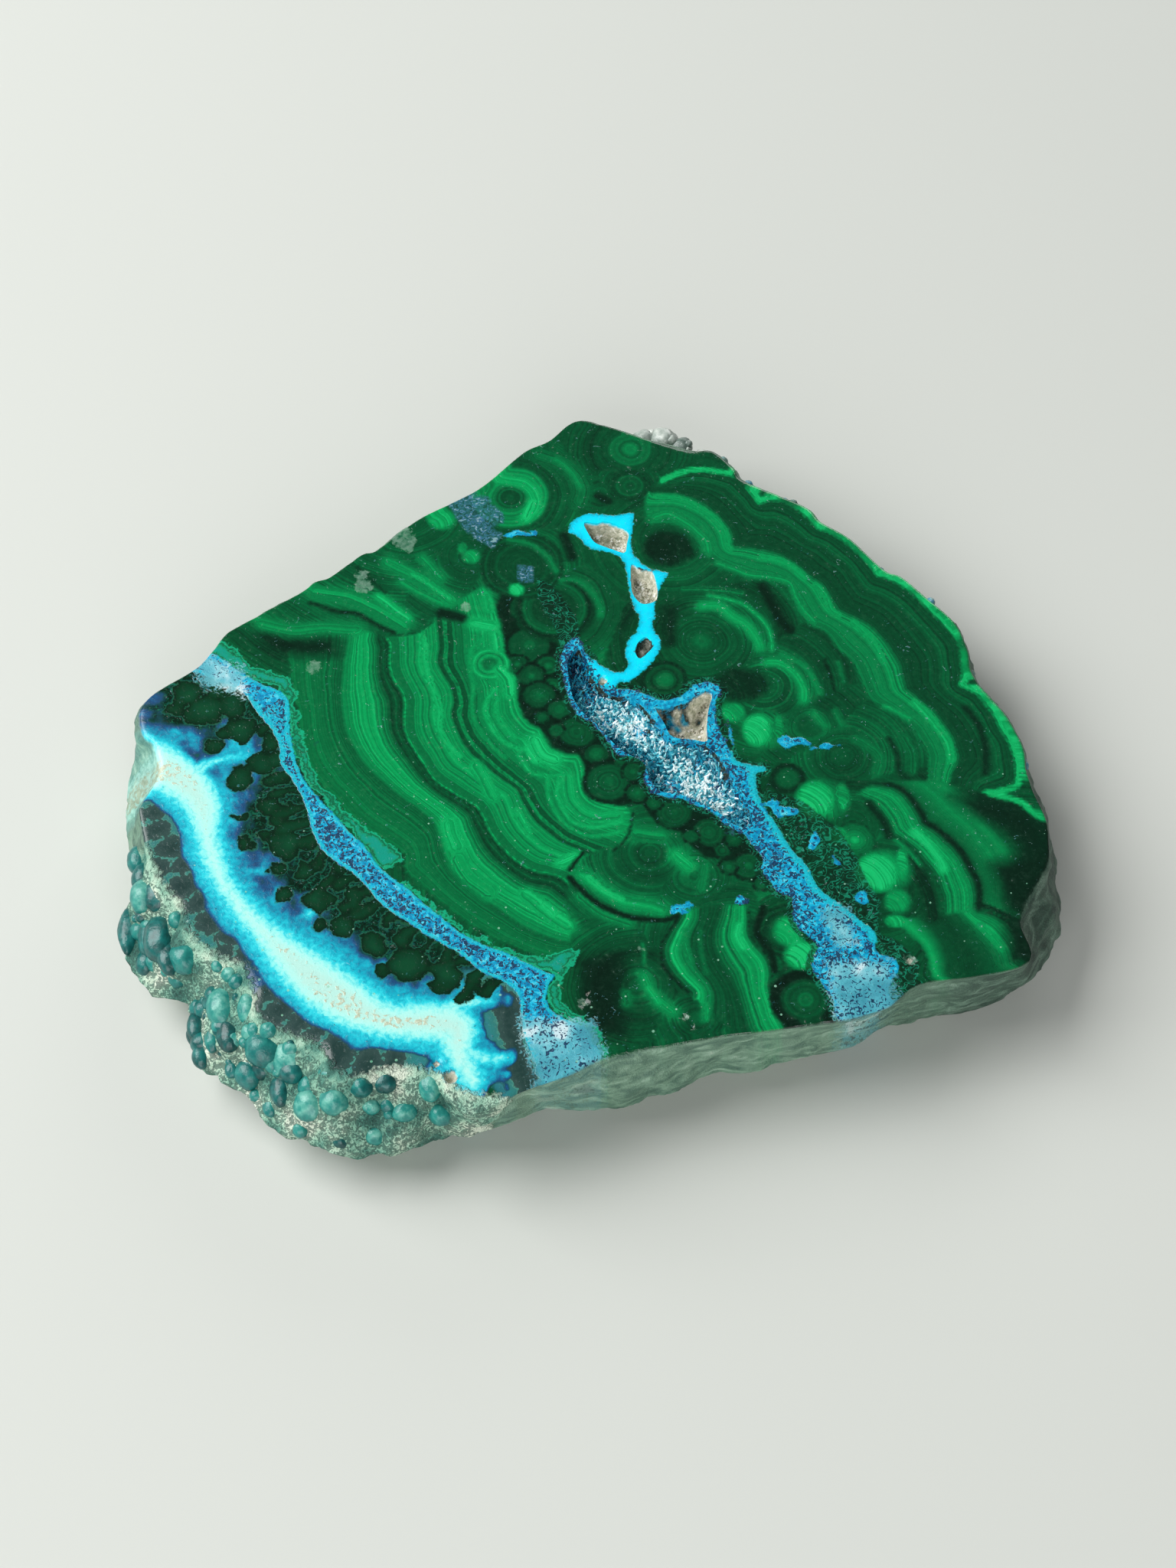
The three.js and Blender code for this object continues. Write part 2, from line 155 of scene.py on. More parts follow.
# The beads of the outer crust stand along the rim between these angles, in degrees.
BEADS_FROM, BEADS_TO = -4, 72
# Where the crystals of the vug are painted lighter, and with a negative amount darker: (x, y, radius, how much). The
# white is partly frost and partly painted glitter, the sparkle of light on the crystal faces.
FROST_AND_GLITTER = [(1.3, 3, 1.3, 0.4), (3.2, 2.4, 1.6, 0.4), (4, 1.2, 1.4, 0.3), (7, -2, 1.8, 0.35),
         (8.6, -3.6, 2, 0.4), (10, -5.4, 1.4, 0.3), (-0.8, 8, 2, -0.2), (-1, 6, 1.4, -0.1)]
VIEW_POINT = (0, -3.5)  # the point of the plan in the middle of the view

# The pattern of the cut face

# The turquoise veins, as outlines on the plan.
LEFT_VEIN = [
    (-28.25, 8.25), (-27.2, 7.6), (-25.8, 6.5), (-24.3, 5.5), (-23, 4.9), (-22.2, 4), (-22, 2.2),
    (-21.8, 0.7), (-21.5, -0.8), (-21, -2.3), (-20.3, -3.7), (-19.3, -5), (-18.3, -6.2),
    (-17, -7.8), (-15.8, -9.3), (-14.8, -10.7), (-12.8, -12.5), (-11, -14.3), (-9.5, -15.7),
    (-8, -16.8), (-6.5, -17.5), (-5.3, -18), (-4, -18.8), (-3, -19.3), (-2.4, -19.6),
    (-2.8, -20.4), (-2.9, -21.7), (-2.3, -22.7), (-0.3, -23.8), (0.3, -25),
    (1.2, -26.6), (-1, -29), (-2.8, -28.6), (-3.5, -26.7), (-4.2, -25), (-4.5, -23),
    (-4.8, -21.3), (-5.8, -20.2), (-7.5, -19.2), (-9, -17.8), (-11, -16.5), (-12.3, -15.5),
    (-13.8, -14.5), (-15.3, -12.8), (-16.7, -11.2), (-17.8, -10.3), (-19, -9.2), (-19.7, -7.8),
    (-20.2, -6), (-20.8, -4.3), (-21.5, -3), (-22.3, -1.7), (-22.5, -0.2), (-23, 1.2),
    (-24, 2.5), (-25, 4), (-26, 5), (-27.8, 6), (-29.5, 7),
]
UPPER_LOOP = [
    (-1.8, 19.8), (-1.3, 21), (-0.3, 21.7), (0.7, 21.75), (2.3, 21.6), (3.7, 21.7), (3.6, 19.7),
    (3.5, 18.2), (4, 17.2), (4.8, 16.5), (6.2, 15.9), (5.8, 14.8), (5.3, 13.3), (5.2, 11.5),
    (5.1, 10.5), (5.5, 9.7), (5.4, 8.7), (4.7, 7.7), (3.8, 6.5), (3, 5.8), (2.2, 5.75),
    (1.9, 5.1), (1, 5.4), (0.2, 6.6), (0.1, 7.7), (1, 7), (1.8, 6.5), (2.7, 6.5), (3.1, 7.3),
    (2.8, 8.3), (3, 9.5), (3.6, 10.5), (3.6, 11.5), (3.3, 12.3), (2.9, 14), (2.7, 15.3),
    (2.7, 16.3), (2.2, 17.3), (1.2, 17.7), (0, 18), (-1, 19.2),
]
CENTRAL_VEIN = [
    (-0.8, 9.8), (-1.8, 8.5), (-2, 7.3), (-1.7, 6), (-1.6, 5), (-1.3, 4), (-0.8, 2.7), (0.3, 2),
    (1.2, 0.8), (1.8, -0.2), (2.3, -0.9), (3.7, -1.2), (4.3, -1.8), (4.1, -3), (4.7, -4.2),
    (5.7, -4.6), (6.8, -4.75), (7.7, -5.3), (9, -6), (10.2, -7.2), (11.3, -7.8), (11.7, -8.5),
    (12.5, -9.8), (12.3, -10.8), (13, -11.8), (13.5, -12.7), (14.5, -13.2), (14.6, -14.7),
    (15, -15.8), (16.2, -17.2), (15.8, -18.3), (15.75, -19.3), (16.5, -20.5), (17.1, -21.8),
    (17.8, -24.5), (21.4, -23.5), (21, -21.8), (21, -20.3), (21.7, -19.3), (21.5, -18.3),
    (20.2, -17.7), (20.1, -16.2), (19, -15), (17.7, -13.8), (16.3, -12.5), (15.5, -10.7),
    (14.5, -9.3), (13.7, -7.8), (13, -6.2), (12.25, -4.5), (12, -2.7), (12.8, -2.2), (12, -2),
    (10.8, -1.5), (10.3, -0.5), (9.8, 0.7), (9.5, 1.5), (9.4, 2.8), (9.5, 4), (9.8, 5),
    (9.2, 5.5), (8, 5.5), (7.3, 4.7), (6.3, 4), (5.2, 4), (4.2, 4.6), (3, 4.9), (1.9, 5.1),
    (0.7, 6.4), (0.2, 7.7), (-0.3, 8.3),
]
# Small blue patches beside the central vein: (x, y, half width, half height).
BLUE_PATCHES = [
    (14.3, -5.7, 0.9, 0.5), (13.4, -5.2, 0.4, 0.3), (16.2, -8.3, 0.35, 0.9), (17.8, -10.2, 0.35, 0.4),
    (10.5, 1.4, 0.25, 0.8), (15.2, 0.3, 1.1, 0.45), (17, -0.2, 0.6, 0.15), (19.5, -13.2, 0.4, 0.5),
    (6.8, -14.2, 0.8, 0.3), (10.8, -13.3, 0.6, 0.25), (-5.6, 19.5, 1.2, 0.3),
]

# The white vein: a path down its middle with the half width of its core at each point.
WHITE_VEIN = [
    (-33, 0.2, 1), (-31.4, -1.6, 1.6), (-29.4, -3.3, 1.7), (-28, -5, 1.4), (-27.4, -7.5, 0.9),
    (-26.9, -9.5, 0.8), (-25.9, -12, 0.7), (-24.2, -14.5, 0.8), (-22, -17, 1.1),
    (-19.5, -19.5, 1.8), (-17, -21.6, 1.8), (-14, -23.2, 1.4), (-11, -23.3, 1.5),
    (-9.2, -23.8, 1.4), (-8.9, -26, 0.9), (-7.8, -28, 0.6),
]
WHITE_BRANCHES = [
    [(-29, -2.4, 0.5), (-27, -1.5, 0.1), (-25, -1, -0.2)],
    [(-10.5, -22.8, 0.7), (-8.6, -21.9, 0.4), (-6.9, -21.6, 0)],
    [(-9, -25.2, 0.4), (-7, -26.2, 0.3), (-5.6, -26.2, 0)],
]

# Black-green stalactitic lobes between the two left veins: (x, y, radius).
LOBES = [
    (-29.5, 4.6, 1.2), (-28.2, 3, 1.5), (-27.4, 4.9, 1), (-30.6, 3.2, 0.8), (-26.2, 3.4, 1.1),
    (-25.6, 1.4, 1.2), (-27.3, -0.1, 0.7), (-26.6, 1.2, 0.7), (-25.2, -3, 1.05), (-23.8, -1.6, 1),
    (-23.2, -5.5, 0.9), (-25, -6.3, 0.45), (-24.6, -8.7, 0.75), (-23, -8, 0.6), (-21.6, -8.9, 1.3),
    (-22.2, -11, 0.7), (-21.5, -13.1, 0.75), (-19.2, -13.4, 1.25), (-17.3, -15.6, 1.05),
    (-18.8, -15.6, 0.5), (-14.9, -17.2, 1.1), (-12.6, -18.8, 1.5), (-14.4, -19.2, 0.6),
    (-10, -19.8, 1.2), (-20.2, -11, 0.9), (-16.6, -13.4, 0.9),
]
# They stand side by side along this line as fingers that point down and to the left.
FINGER_ROOTS = [
    (-23.2, 1.6), (-22, -1.6), (-21.2, -3.6), (-20.2, -6), (-19.4, -8.6), (-17.4, -10.4),
    (-15.3, -12.8), (-13, -15), (-11, -16.5), (-9, -17.8), (-7.5, -19.2), (-5.8, -20.2),
]
FINGER_SPACING = 1.5

# Dark grey nodules cut through on the outer side of the white vein: (x, y, radius).
GREY_NODULES = [
    (-31.2, -6, 0.8), (-30.9, -7.5, 0.9), (-29.9, -9, 1.1), (-30.4, -10.6, 0.8),
    (-28.9, -10.6, 0.9), (-28.7, -12.2, 1.2), (-27.4, -13.6, 1.1), (-26.6, -15.1, 1.2),
    (-25.2, -16.4, 1.1), (-25.4, -17.8, 0.9), (-23.8, -18, 1), (-22.9, -19.6, 0.9),
    (-22.4, -21, 1.2), (-21.2, -22.2, 1.3), (-19.8, -23, 1.1), (-18.7, -23.9, 0.7),
    (-17.2, -25.8, 1.5), (-15.2, -26.5, 1.2), (-13.3, -26.3, 0.9),
]

# The bands on the left, each a curve along the growth front, drawn from the top down, and the
# brightness from that curve to the next as (share of the way, tone).
LEFT_BANDS = [
    ([(-23.5, 14), (-22.6, 9), (-22, 5.9), (-21.5, 3.2), (-21, 0), (-20, -2.7), (-18, -5.3),
      (-16, -7.5), (-13.3, -9.5), (-13, -11), (-11, -13), (-8, -15.7), (-5, -17.3),
      (-2.5, -18.3), (0.5, -17.8), (4, -17.4)],
     [(0, 0.46), (0.3, 0.52), (0.8, 0.5), (0.96, 0.38), (1, 0.5)]),
    ([(-17.4, 15), (-17.8, 11), (-18, 9.3), (-18.2, 7.3), (-18.3, 4.8), (-18, 2.3), (-17.3, 0.2),
      (-16.2, -1.8), (-15, -3.2), (-13.5, -4.5), (-11.7, -6.2), (-10.7, -7.6), (-10.3, -9.6),
      (-9.2, -11.6), (-6.9, -13.7), (-4.6, -15.5), (-2, -16.8), (1, -17.2), (4, -17)],
     [(0, 0.5), (0.06, 0.68), (0.15, 0.74), (0.5, 0.75), (0.6, 0.64), (0.7, 0.5), (0.8, 0.24),
      (0.87, 0.44), (0.93, 0.2), (0.97, 0.4), (1, 0.82)]),
    ([(-15.4, 15), (-15.2, 10.2), (-14.8, 9.2), (-14.75, 7.2), (-14.3, 5.7), (-13.6, 4.3),
      (-13.5, 2.2), (-13.2, 0.5), (-12.2, -1.3), (-11.2, -3.1), (-9.8, -4.2), (-8.8, -4.9),
      (-7.8, -5.7), (-7.3, -7), (-6.6, -8.4), (-5.8, -9.5), (-4.8, -10.4), (-3.7, -11),
      (-2.3, -11.3), (-1.5, -11.8), (-0.6, -12.8), (0.5, -13.8), (2, -14.6), (3.8, -15.1),
      (5, -15.2), (8, -14.6)],
     [(0, 0.84), (0.03, 0.5), (0.12, 0.52), (0.25, 0.66), (0.38, 0.72), (0.5, 0.64), (0.64, 0.78),
      (0.75, 0.72), (0.84, 0.6), (0.9, 0.26), (0.96, 0.42), (1, 0.78)]),
    ([(-11, 15), (-10.7, 10.5), (-10.6, 7.5), (-10.3, 6.5), (-9.7, 5.3), (-9.4, 3.8),
      (-9.5, 2.6), (-9, 1), (-8.4, -0.1), (-7.5, -1.2), (-6.6, -2.1), (-5.6, -3), (-4.7, -3.8),
      (-4.2, -5), (-3.6, -6.2), (-2.7, -7.2), (-1.5, -8.2), (-0.2, -8.8), (1.6, -10),
      (3.6, -11.6), (6, -12), (8, -11.6)],
     [(0, 0.82), (0.04, 0.4), (0.1, 0.44), (0.2, 0.52), (0.35, 0.58), (0.45, 0.7), (0.52, 0.6),
      (0.62, 0.74), (0.8, 0.66), (1, 0.76)]),
    ([(-8, 15), (-7, 12.5), (-6.6, 11), (-6.3, 9.7), (-6.1, 8), (-5.8, 7), (-5.2, 6),
      (-5.2, 4.5), (-4.9, 2.8), (-4.3, 1.9), (-3.5, 1.5), (-3.2, 0.5), (-2.7, -0.3),
      (-1.7, -0.8), (-0.6, -0.9), (-0.2, -2), (-0.1, -3.3), (0.2, -4.3), (1, -5.1), (2.2, -5.4),
      (3.3, -5.2), (4, -5.2), (4.5, -6.3), (5.5, -7.2), (6.7, -7.6), (7.2, -8.8), (8.3, -9.8),
      (9.5, -10)],
     []),
]
LEFT_FIELD = [
    (-23, 7), (-21, 9.5), (-17.5, 10.4), (-15, 9.9), (-12.7, 10.3), (-10.5, 12.8), (-7, 14.6),
    (-5, 11), (-3, 3), (0.6, -0.6), (2.2, -4.5), (3.2, -6.4), (3, -8.4), (0, -9.6), (-1, -10.8),
    (-1.4, -12.6), (-1.4, -14.4), (-1.2, -16.4), (-2, -19), (-8, -17.6), (-14, -11.5), (-23, -2),
]

# The bands on the right, in the same way, scalloped by the lobes that they grew over. A point
# given twice is a cusp.
RIGHT_BANDS = [
    ([(5, 20.6), (6.8, 20.4), (8, 19.4), (8.6, 18), (8.6, 18), (9.6, 17), (10.9, 16),
      (12.3, 15.3), (13.8, 15.1), (15, 14.4), (15.4, 13.2), (15.8, 12), (16.6, 10.8),
      (17.8, 10.2), (18.6, 8.6), (19.6, 7.3), (20.4, 5), (20.8, 4), (22.1, 3), (23.4, 1.9),
      (24.2, 0.6), (24.7, -0.7), (24.7, -2.5), (24.5, -4.4)],
     [(0, 0.4), (0.06, 0.6), (0.3, 0.54), (0.55, 0.6), (0.84, 0.72), (0.93, 0.66), (1, 0.34)]),
    ([(5.2, 23.7), (7, 23.6), (8.8, 22.7), (10.2, 21.3), (11, 19.8), (11.1, 18.4), (11.1, 18.4),
      (12.8, 18.2), (14.4, 17.8), (15.7, 16.9), (16.7, 15.7), (17.8, 14.8), (18.6, 13.3),
      (18.9, 12.4), (18.9, 12.4), (20.9, 11.2), (22, 9.9), (22.8, 8.3), (23.3, 7), (23.6, 5),
      (23.6, 5), (24.5, 4), (25.5, 3), (26.3, 1.7), (26.8, 0.4), (27.1, -1.2), (26.6, -2.5),
      (26, -4.4)],
     [(0, 0.36), (0.08, 0.3), (0.3, 0.28), (0.45, 0.36), (0.56, 0.3), (0.66, 0.46),
      (0.75, 0.38), (0.9, 0.3), (1, 0.26)]),
    ([(5.8, 24.8), (8, 25.9), (11.3, 25.4), (12.5, 24.2), (13.2, 22.8), (13.2, 22.8),
      (14.3, 23.1), (15.8, 22.5), (17, 21.3), (17.7, 20.2), (17.7, 20.2), (18.8, 19.7),
      (20.2, 18.5), (21.3, 17), (22, 15.7), (22, 15.7), (23.2, 15.2), (24.7, 13.8), (26, 12.2),
      (27, 10.8), (27.8, 9.3), (28, 7.8), (28, 6.3), (27.7, 5.4), (27.7, 5.4), (29, 4.5),
      (29.8, 3.2), (30.5, 1.5), (31, 0.2), (31.3, -1.5), (31.25, -3), (30.8, -3.75),
      (28.8, -4.25), (28.8, -4.25), (30, -4.6), (31.2, -5), (32.2, -6), (33.6, -7.6)],
     []),
]
RIGHT_FIELD = [
    (4.8, 24.4), (4.8, 19.6), (8.4, 16.6), (12, 14), (15, 10.6), (18, 7), (20, 3), (23, 0.4),
    (24, -3.6), (26, -4), (28.9, -4.1), (31.2, -3.4), (33, -3), (33, 3), (30, 10), (22, 19),
    (16, 24), (12, 26.5), (8, 26),
]

# The bands of the lower right, of the corner under them, and of the bottom, in the same way.
LOWER_BANDS = [
    ([(19.6, -4.6), (20.6, -5.4), (21.3, -6.6), (21.8, -8), (21.8, -8), (22.6, -8.6),
      (23.6, -9.8), (24.6, -11.4), (25, -13), (25, -14.6)],
     [(0, 0.3), (0.1, 0.5), (0.2, 0.68), (0.28, 0.54), (0.38, 0.78), (0.47, 0.6), (0.57, 0.8),
      (0.65, 0.56), (0.74, 0.66), (0.84, 0.42), (0.92, 0.2), (1, 0.12)]),
    ([(20.6, -3.3), (22.1, -3.6), (23.2, -4.4), (24, -5.7), (24.3, -6.7), (24.3, -6.7),
      (25.4, -7.5), (26.6, -9), (27.3, -10.4), (27.9, -12.4), (27.8, -14.2)],
     [(0, 0.12), (0.06, 0.4), (0.2, 0.5), (0.35, 0.57), (0.5, 0.66), (0.6, 0.58), (0.78, 0.66),
      (0.9, 0.54), (1, 0.36)]),
    ([(24.2, -1.6), (26.4, -3.4), (27.6, -4.8), (28.8, -6.4), (29.8, -8.2), (30.6, -9.8),
      (30.8, -11.4), (30.6, -14.6)],
     [(0, 0.42), (0.15, 0.34), (0.4, 0.28), (0.7, 0.22), (1, 0.3)]),
    ([(25.6, -1), (28.8, -4.1), (31, -5), (32.6, -6.6), (33.2, -9), (33.2, -15)], []),
]
LOWER_FIELD = [
    (19.2, -4.8), (20.6, -3.6), (22.6, -3.3), (24.4, -3.2), (26.6, -3.6), (28.8, -4.3),
    (31, -4.8), (33.6, -6.6), (33.8, -14), (30.6, -15), (27.8, -14.2), (25, -14.8), (24.6, -12),
    (23.4, -10), (22, -8.6), (21.2, -6.4),
]
CORNER_BANDS = [
    ([(21.9, -15.6), (22.9, -16.6), (23.6, -17.8), (24, -19.8)],
     [(0, 0.5), (0.3, 0.82), (0.6, 0.62), (1, 0.36)]),
    ([(23.4, -14.9), (24.4, -16.2), (25, -17.8), (25.2, -19.8)], [(0, 0.34), (0.5, 0.28), (1, 0.4)]),
    ([(26.2, -14.7), (27.4, -16.4), (28.3, -18), (28.6, -19.6)],
     [(0, 0.45), (0.25, 0.64), (0.5, 0.72), (0.75, 0.6), (0.9, 0.45), (1, 0.2)]),
    ([(27.6, -14.2), (29, -14.6), (30.2, -16), (30.8, -17.6), (30.8, -19)], []),
]
CORNER_FIELD = [
    (21.8, -15.4), (23.2, -14.9), (25.6, -14.6), (27.6, -14.1), (29.4, -14.4), (31.2, -16),
    (31.4, -19), (28, -20), (24, -20.6), (22.8, -18.4),
]
BOTTOM_BANDS = [
    ([(6.4, -14.7), (5.6, -15.9), (5, -17.2), (5.1, -18.5), (5.8, -19.8), (6.9, -21)],
     [(0, 0.12), (0.07, 0.32), (0.17, 0.6), (0.26, 0.84), (0.38, 0.66), (0.48, 0.52), (0.6, 0.36),
      (0.78, 0.34), (1, 0.3)]),
    ([(9.6, -13.6), (8.9, -15.6), (8.8, -17.2), (9.3, -18.8), (10, -20.4), (10.6, -22.4),
      (11, -24.4)],
     [(0, 0.34), (0.15, 0.5), (0.3, 0.66), (0.4, 0.54), (0.52, 0.8), (0.62, 0.62), (0.72, 0.84),
      (0.86, 0.66), (0.95, 0.42), (1, 0.16)]),
    ([(11.4, -13.4), (11.3, -15.6), (11.9, -17), (12.7, -18.2), (12.9, -19.4), (12.7, -20.6),
      (13, -22), (13.8, -24.4)], []),
]
BOTTOM_FIELD = [
    (6.6, -14.4), (9.4, -13.8), (11.6, -14), (11.5, -15.6), (12, -17), (12.8, -18.1),
    (13, -19.4), (12.8, -20.7), (13.8, -24), (7.4, -25), (6.6, -21.6), (5, -19), (4.7, -16.6),
]

# The middles that the rest of the stone grew out from: (x, y, reach). The faint rings round
# each of them end where the next one's begin.
MIDDLES = [
    (6.3, 19, 4.7), (8.5, 9.4, 4.4), (13, 5.2, 3.2), (16.3, 1.6, 1.6), (18.6, -1.1, 2.2),
    (19, -7, 3.6), (20.6, -12.4, 5.2), (25.4, -19.6, 4.6), (20.6, -18.6, 3.2), (10.2, -17.4, 4.4),
    (14.4, -16, 3.6), (15, -20.7, 3), (3.4, -20.4, 2.2), (7.6, -23, 1.6), (-6, 23.2, 3.2),
    (3.3, 28, 1.9), (3.2, 24.4, 1.4), (-2.5, 12.5, 3), (-5, 16.5, 3), (-9, 17.4, 1.6),
    (-11.2, 21, 1), (4.4, -9.4, 2.6), (7.6, -11.4, 2), (1, 23.6, 0.6), (-14, 22, 4),
    (31.4, -12, 1.6),
]

# The strip of small nodules between the left bands and the central vein is closed by this line,
# and holds these nodules, each paler in its middle: (x, y, radius).
STRIP_BACK = [
    (11, -11.6), (13, -12.4), (12.4, -9.6), (9, -6), (5, -4.4), (2, -0.6), (-1, 3), (-1.8, 6),
    (-2, 8.4), (-2.8, 11), (-4.4, 14.4), (-6.4, 14.2),
]
SOFT_NODULES = [
    (-3.2, 10.8, 1.1), (-4.9, 12.4, 1.1), (-3.1, 12.8, 1), (-4.4, 9, 1.6), (-5.3, 7.3, 0.8),
    (-3, 7.2, 0.9), (-4.2, 6.2, 1), (-2.6, 5.4, 0.7), (-3.6, 4.4, 1.2), (-2.1, 3.1, 0.9),
    (-3.4, 2.4, 0.6), (-0.8, 1.1, 1.4), (-2.3, 1.2, 0.6), (0.6, -0.8, 0.9), (1.5, -3.3, 1.7),
    (3.3, -2.4, 0.8), (2.4, -1.4, 0.5), (3.6, -4.3, 0.8), (6.2, -6, 1.3), (4.8, -5.2, 0.6),
    (8.7, -7.7, 1.2), (7.4, -8, 0.6), (10.5, -8.2, 0.7), (9.6, -9.2, 0.6), (11.4, -10.5, 1.1),
    (10, -10.6, 0.6), (12.4, -12, 0.6),
]

# Single nodules, painted in this order: the middle, then (radius, tone) outwards.
ROUND_NODULES = [
    ((-2.5, 12.5), [(0, 0.2), (1.6, 0.3), (2.4, 0.42), (2.6, 0.18), (3.2, 0.3)]),
    ((-5, 16.5), [(0, 0.3), (1.6, 0.3), (2, 0.42), (2.4, 0.24), (2.9, 0.36), (3.2, 0.2)]),
    ((-6, 23.2), [(0, 0.36), (1, 0.4), (1.4, 0.6), (2.1, 0.6), (2.7, 0.66), (3, 0.5), (3.4, 0.25)]),
    ((3.3, 28), [(0, 0.58), (1, 0.52), (1.7, 0.46), (2, 0.3), (2.3, 0.25)]),
    ((3.2, 24.4), [(0, 0.36), (1.1, 0.4), (1.5, 0.25)]),
    ((5.7, 5.8), [(0, 0.5), (0.7, 0.46), (0.9, 0.24), (1.3, 0.34), (1.7, 0.12)]),
    ((14.5, -3), [(0, 0.42), (0.8, 0.38), (1, 0.2), (1.3, 0.14)]),
    ((19.1, -8.3), [(0, 0.74), (0.5, 0.68), (0.8, 0.5), (1.3, 0.5), (1.5, 0.2)]),
    ((-7.3, 7.3), [(0, 0.5), (0.6, 0.52), (0.75, 0.8), (1, 0.62), (1.25, 0.84), (1.5, 0.6)]),
    ((15.1, -21.6), [(0, 0.55), (0.5, 0.5), (1, 0.34), (1.5, 0.3), (1.8, 0.12), (2.3, 0.06),
                     (2.5, 0.14)]),
    ((14, -16), [(0, 0.5), (1.2, 0.4), (1.5, 0.2), (1.8, 0.36), (2.1, 0.16)]),
]

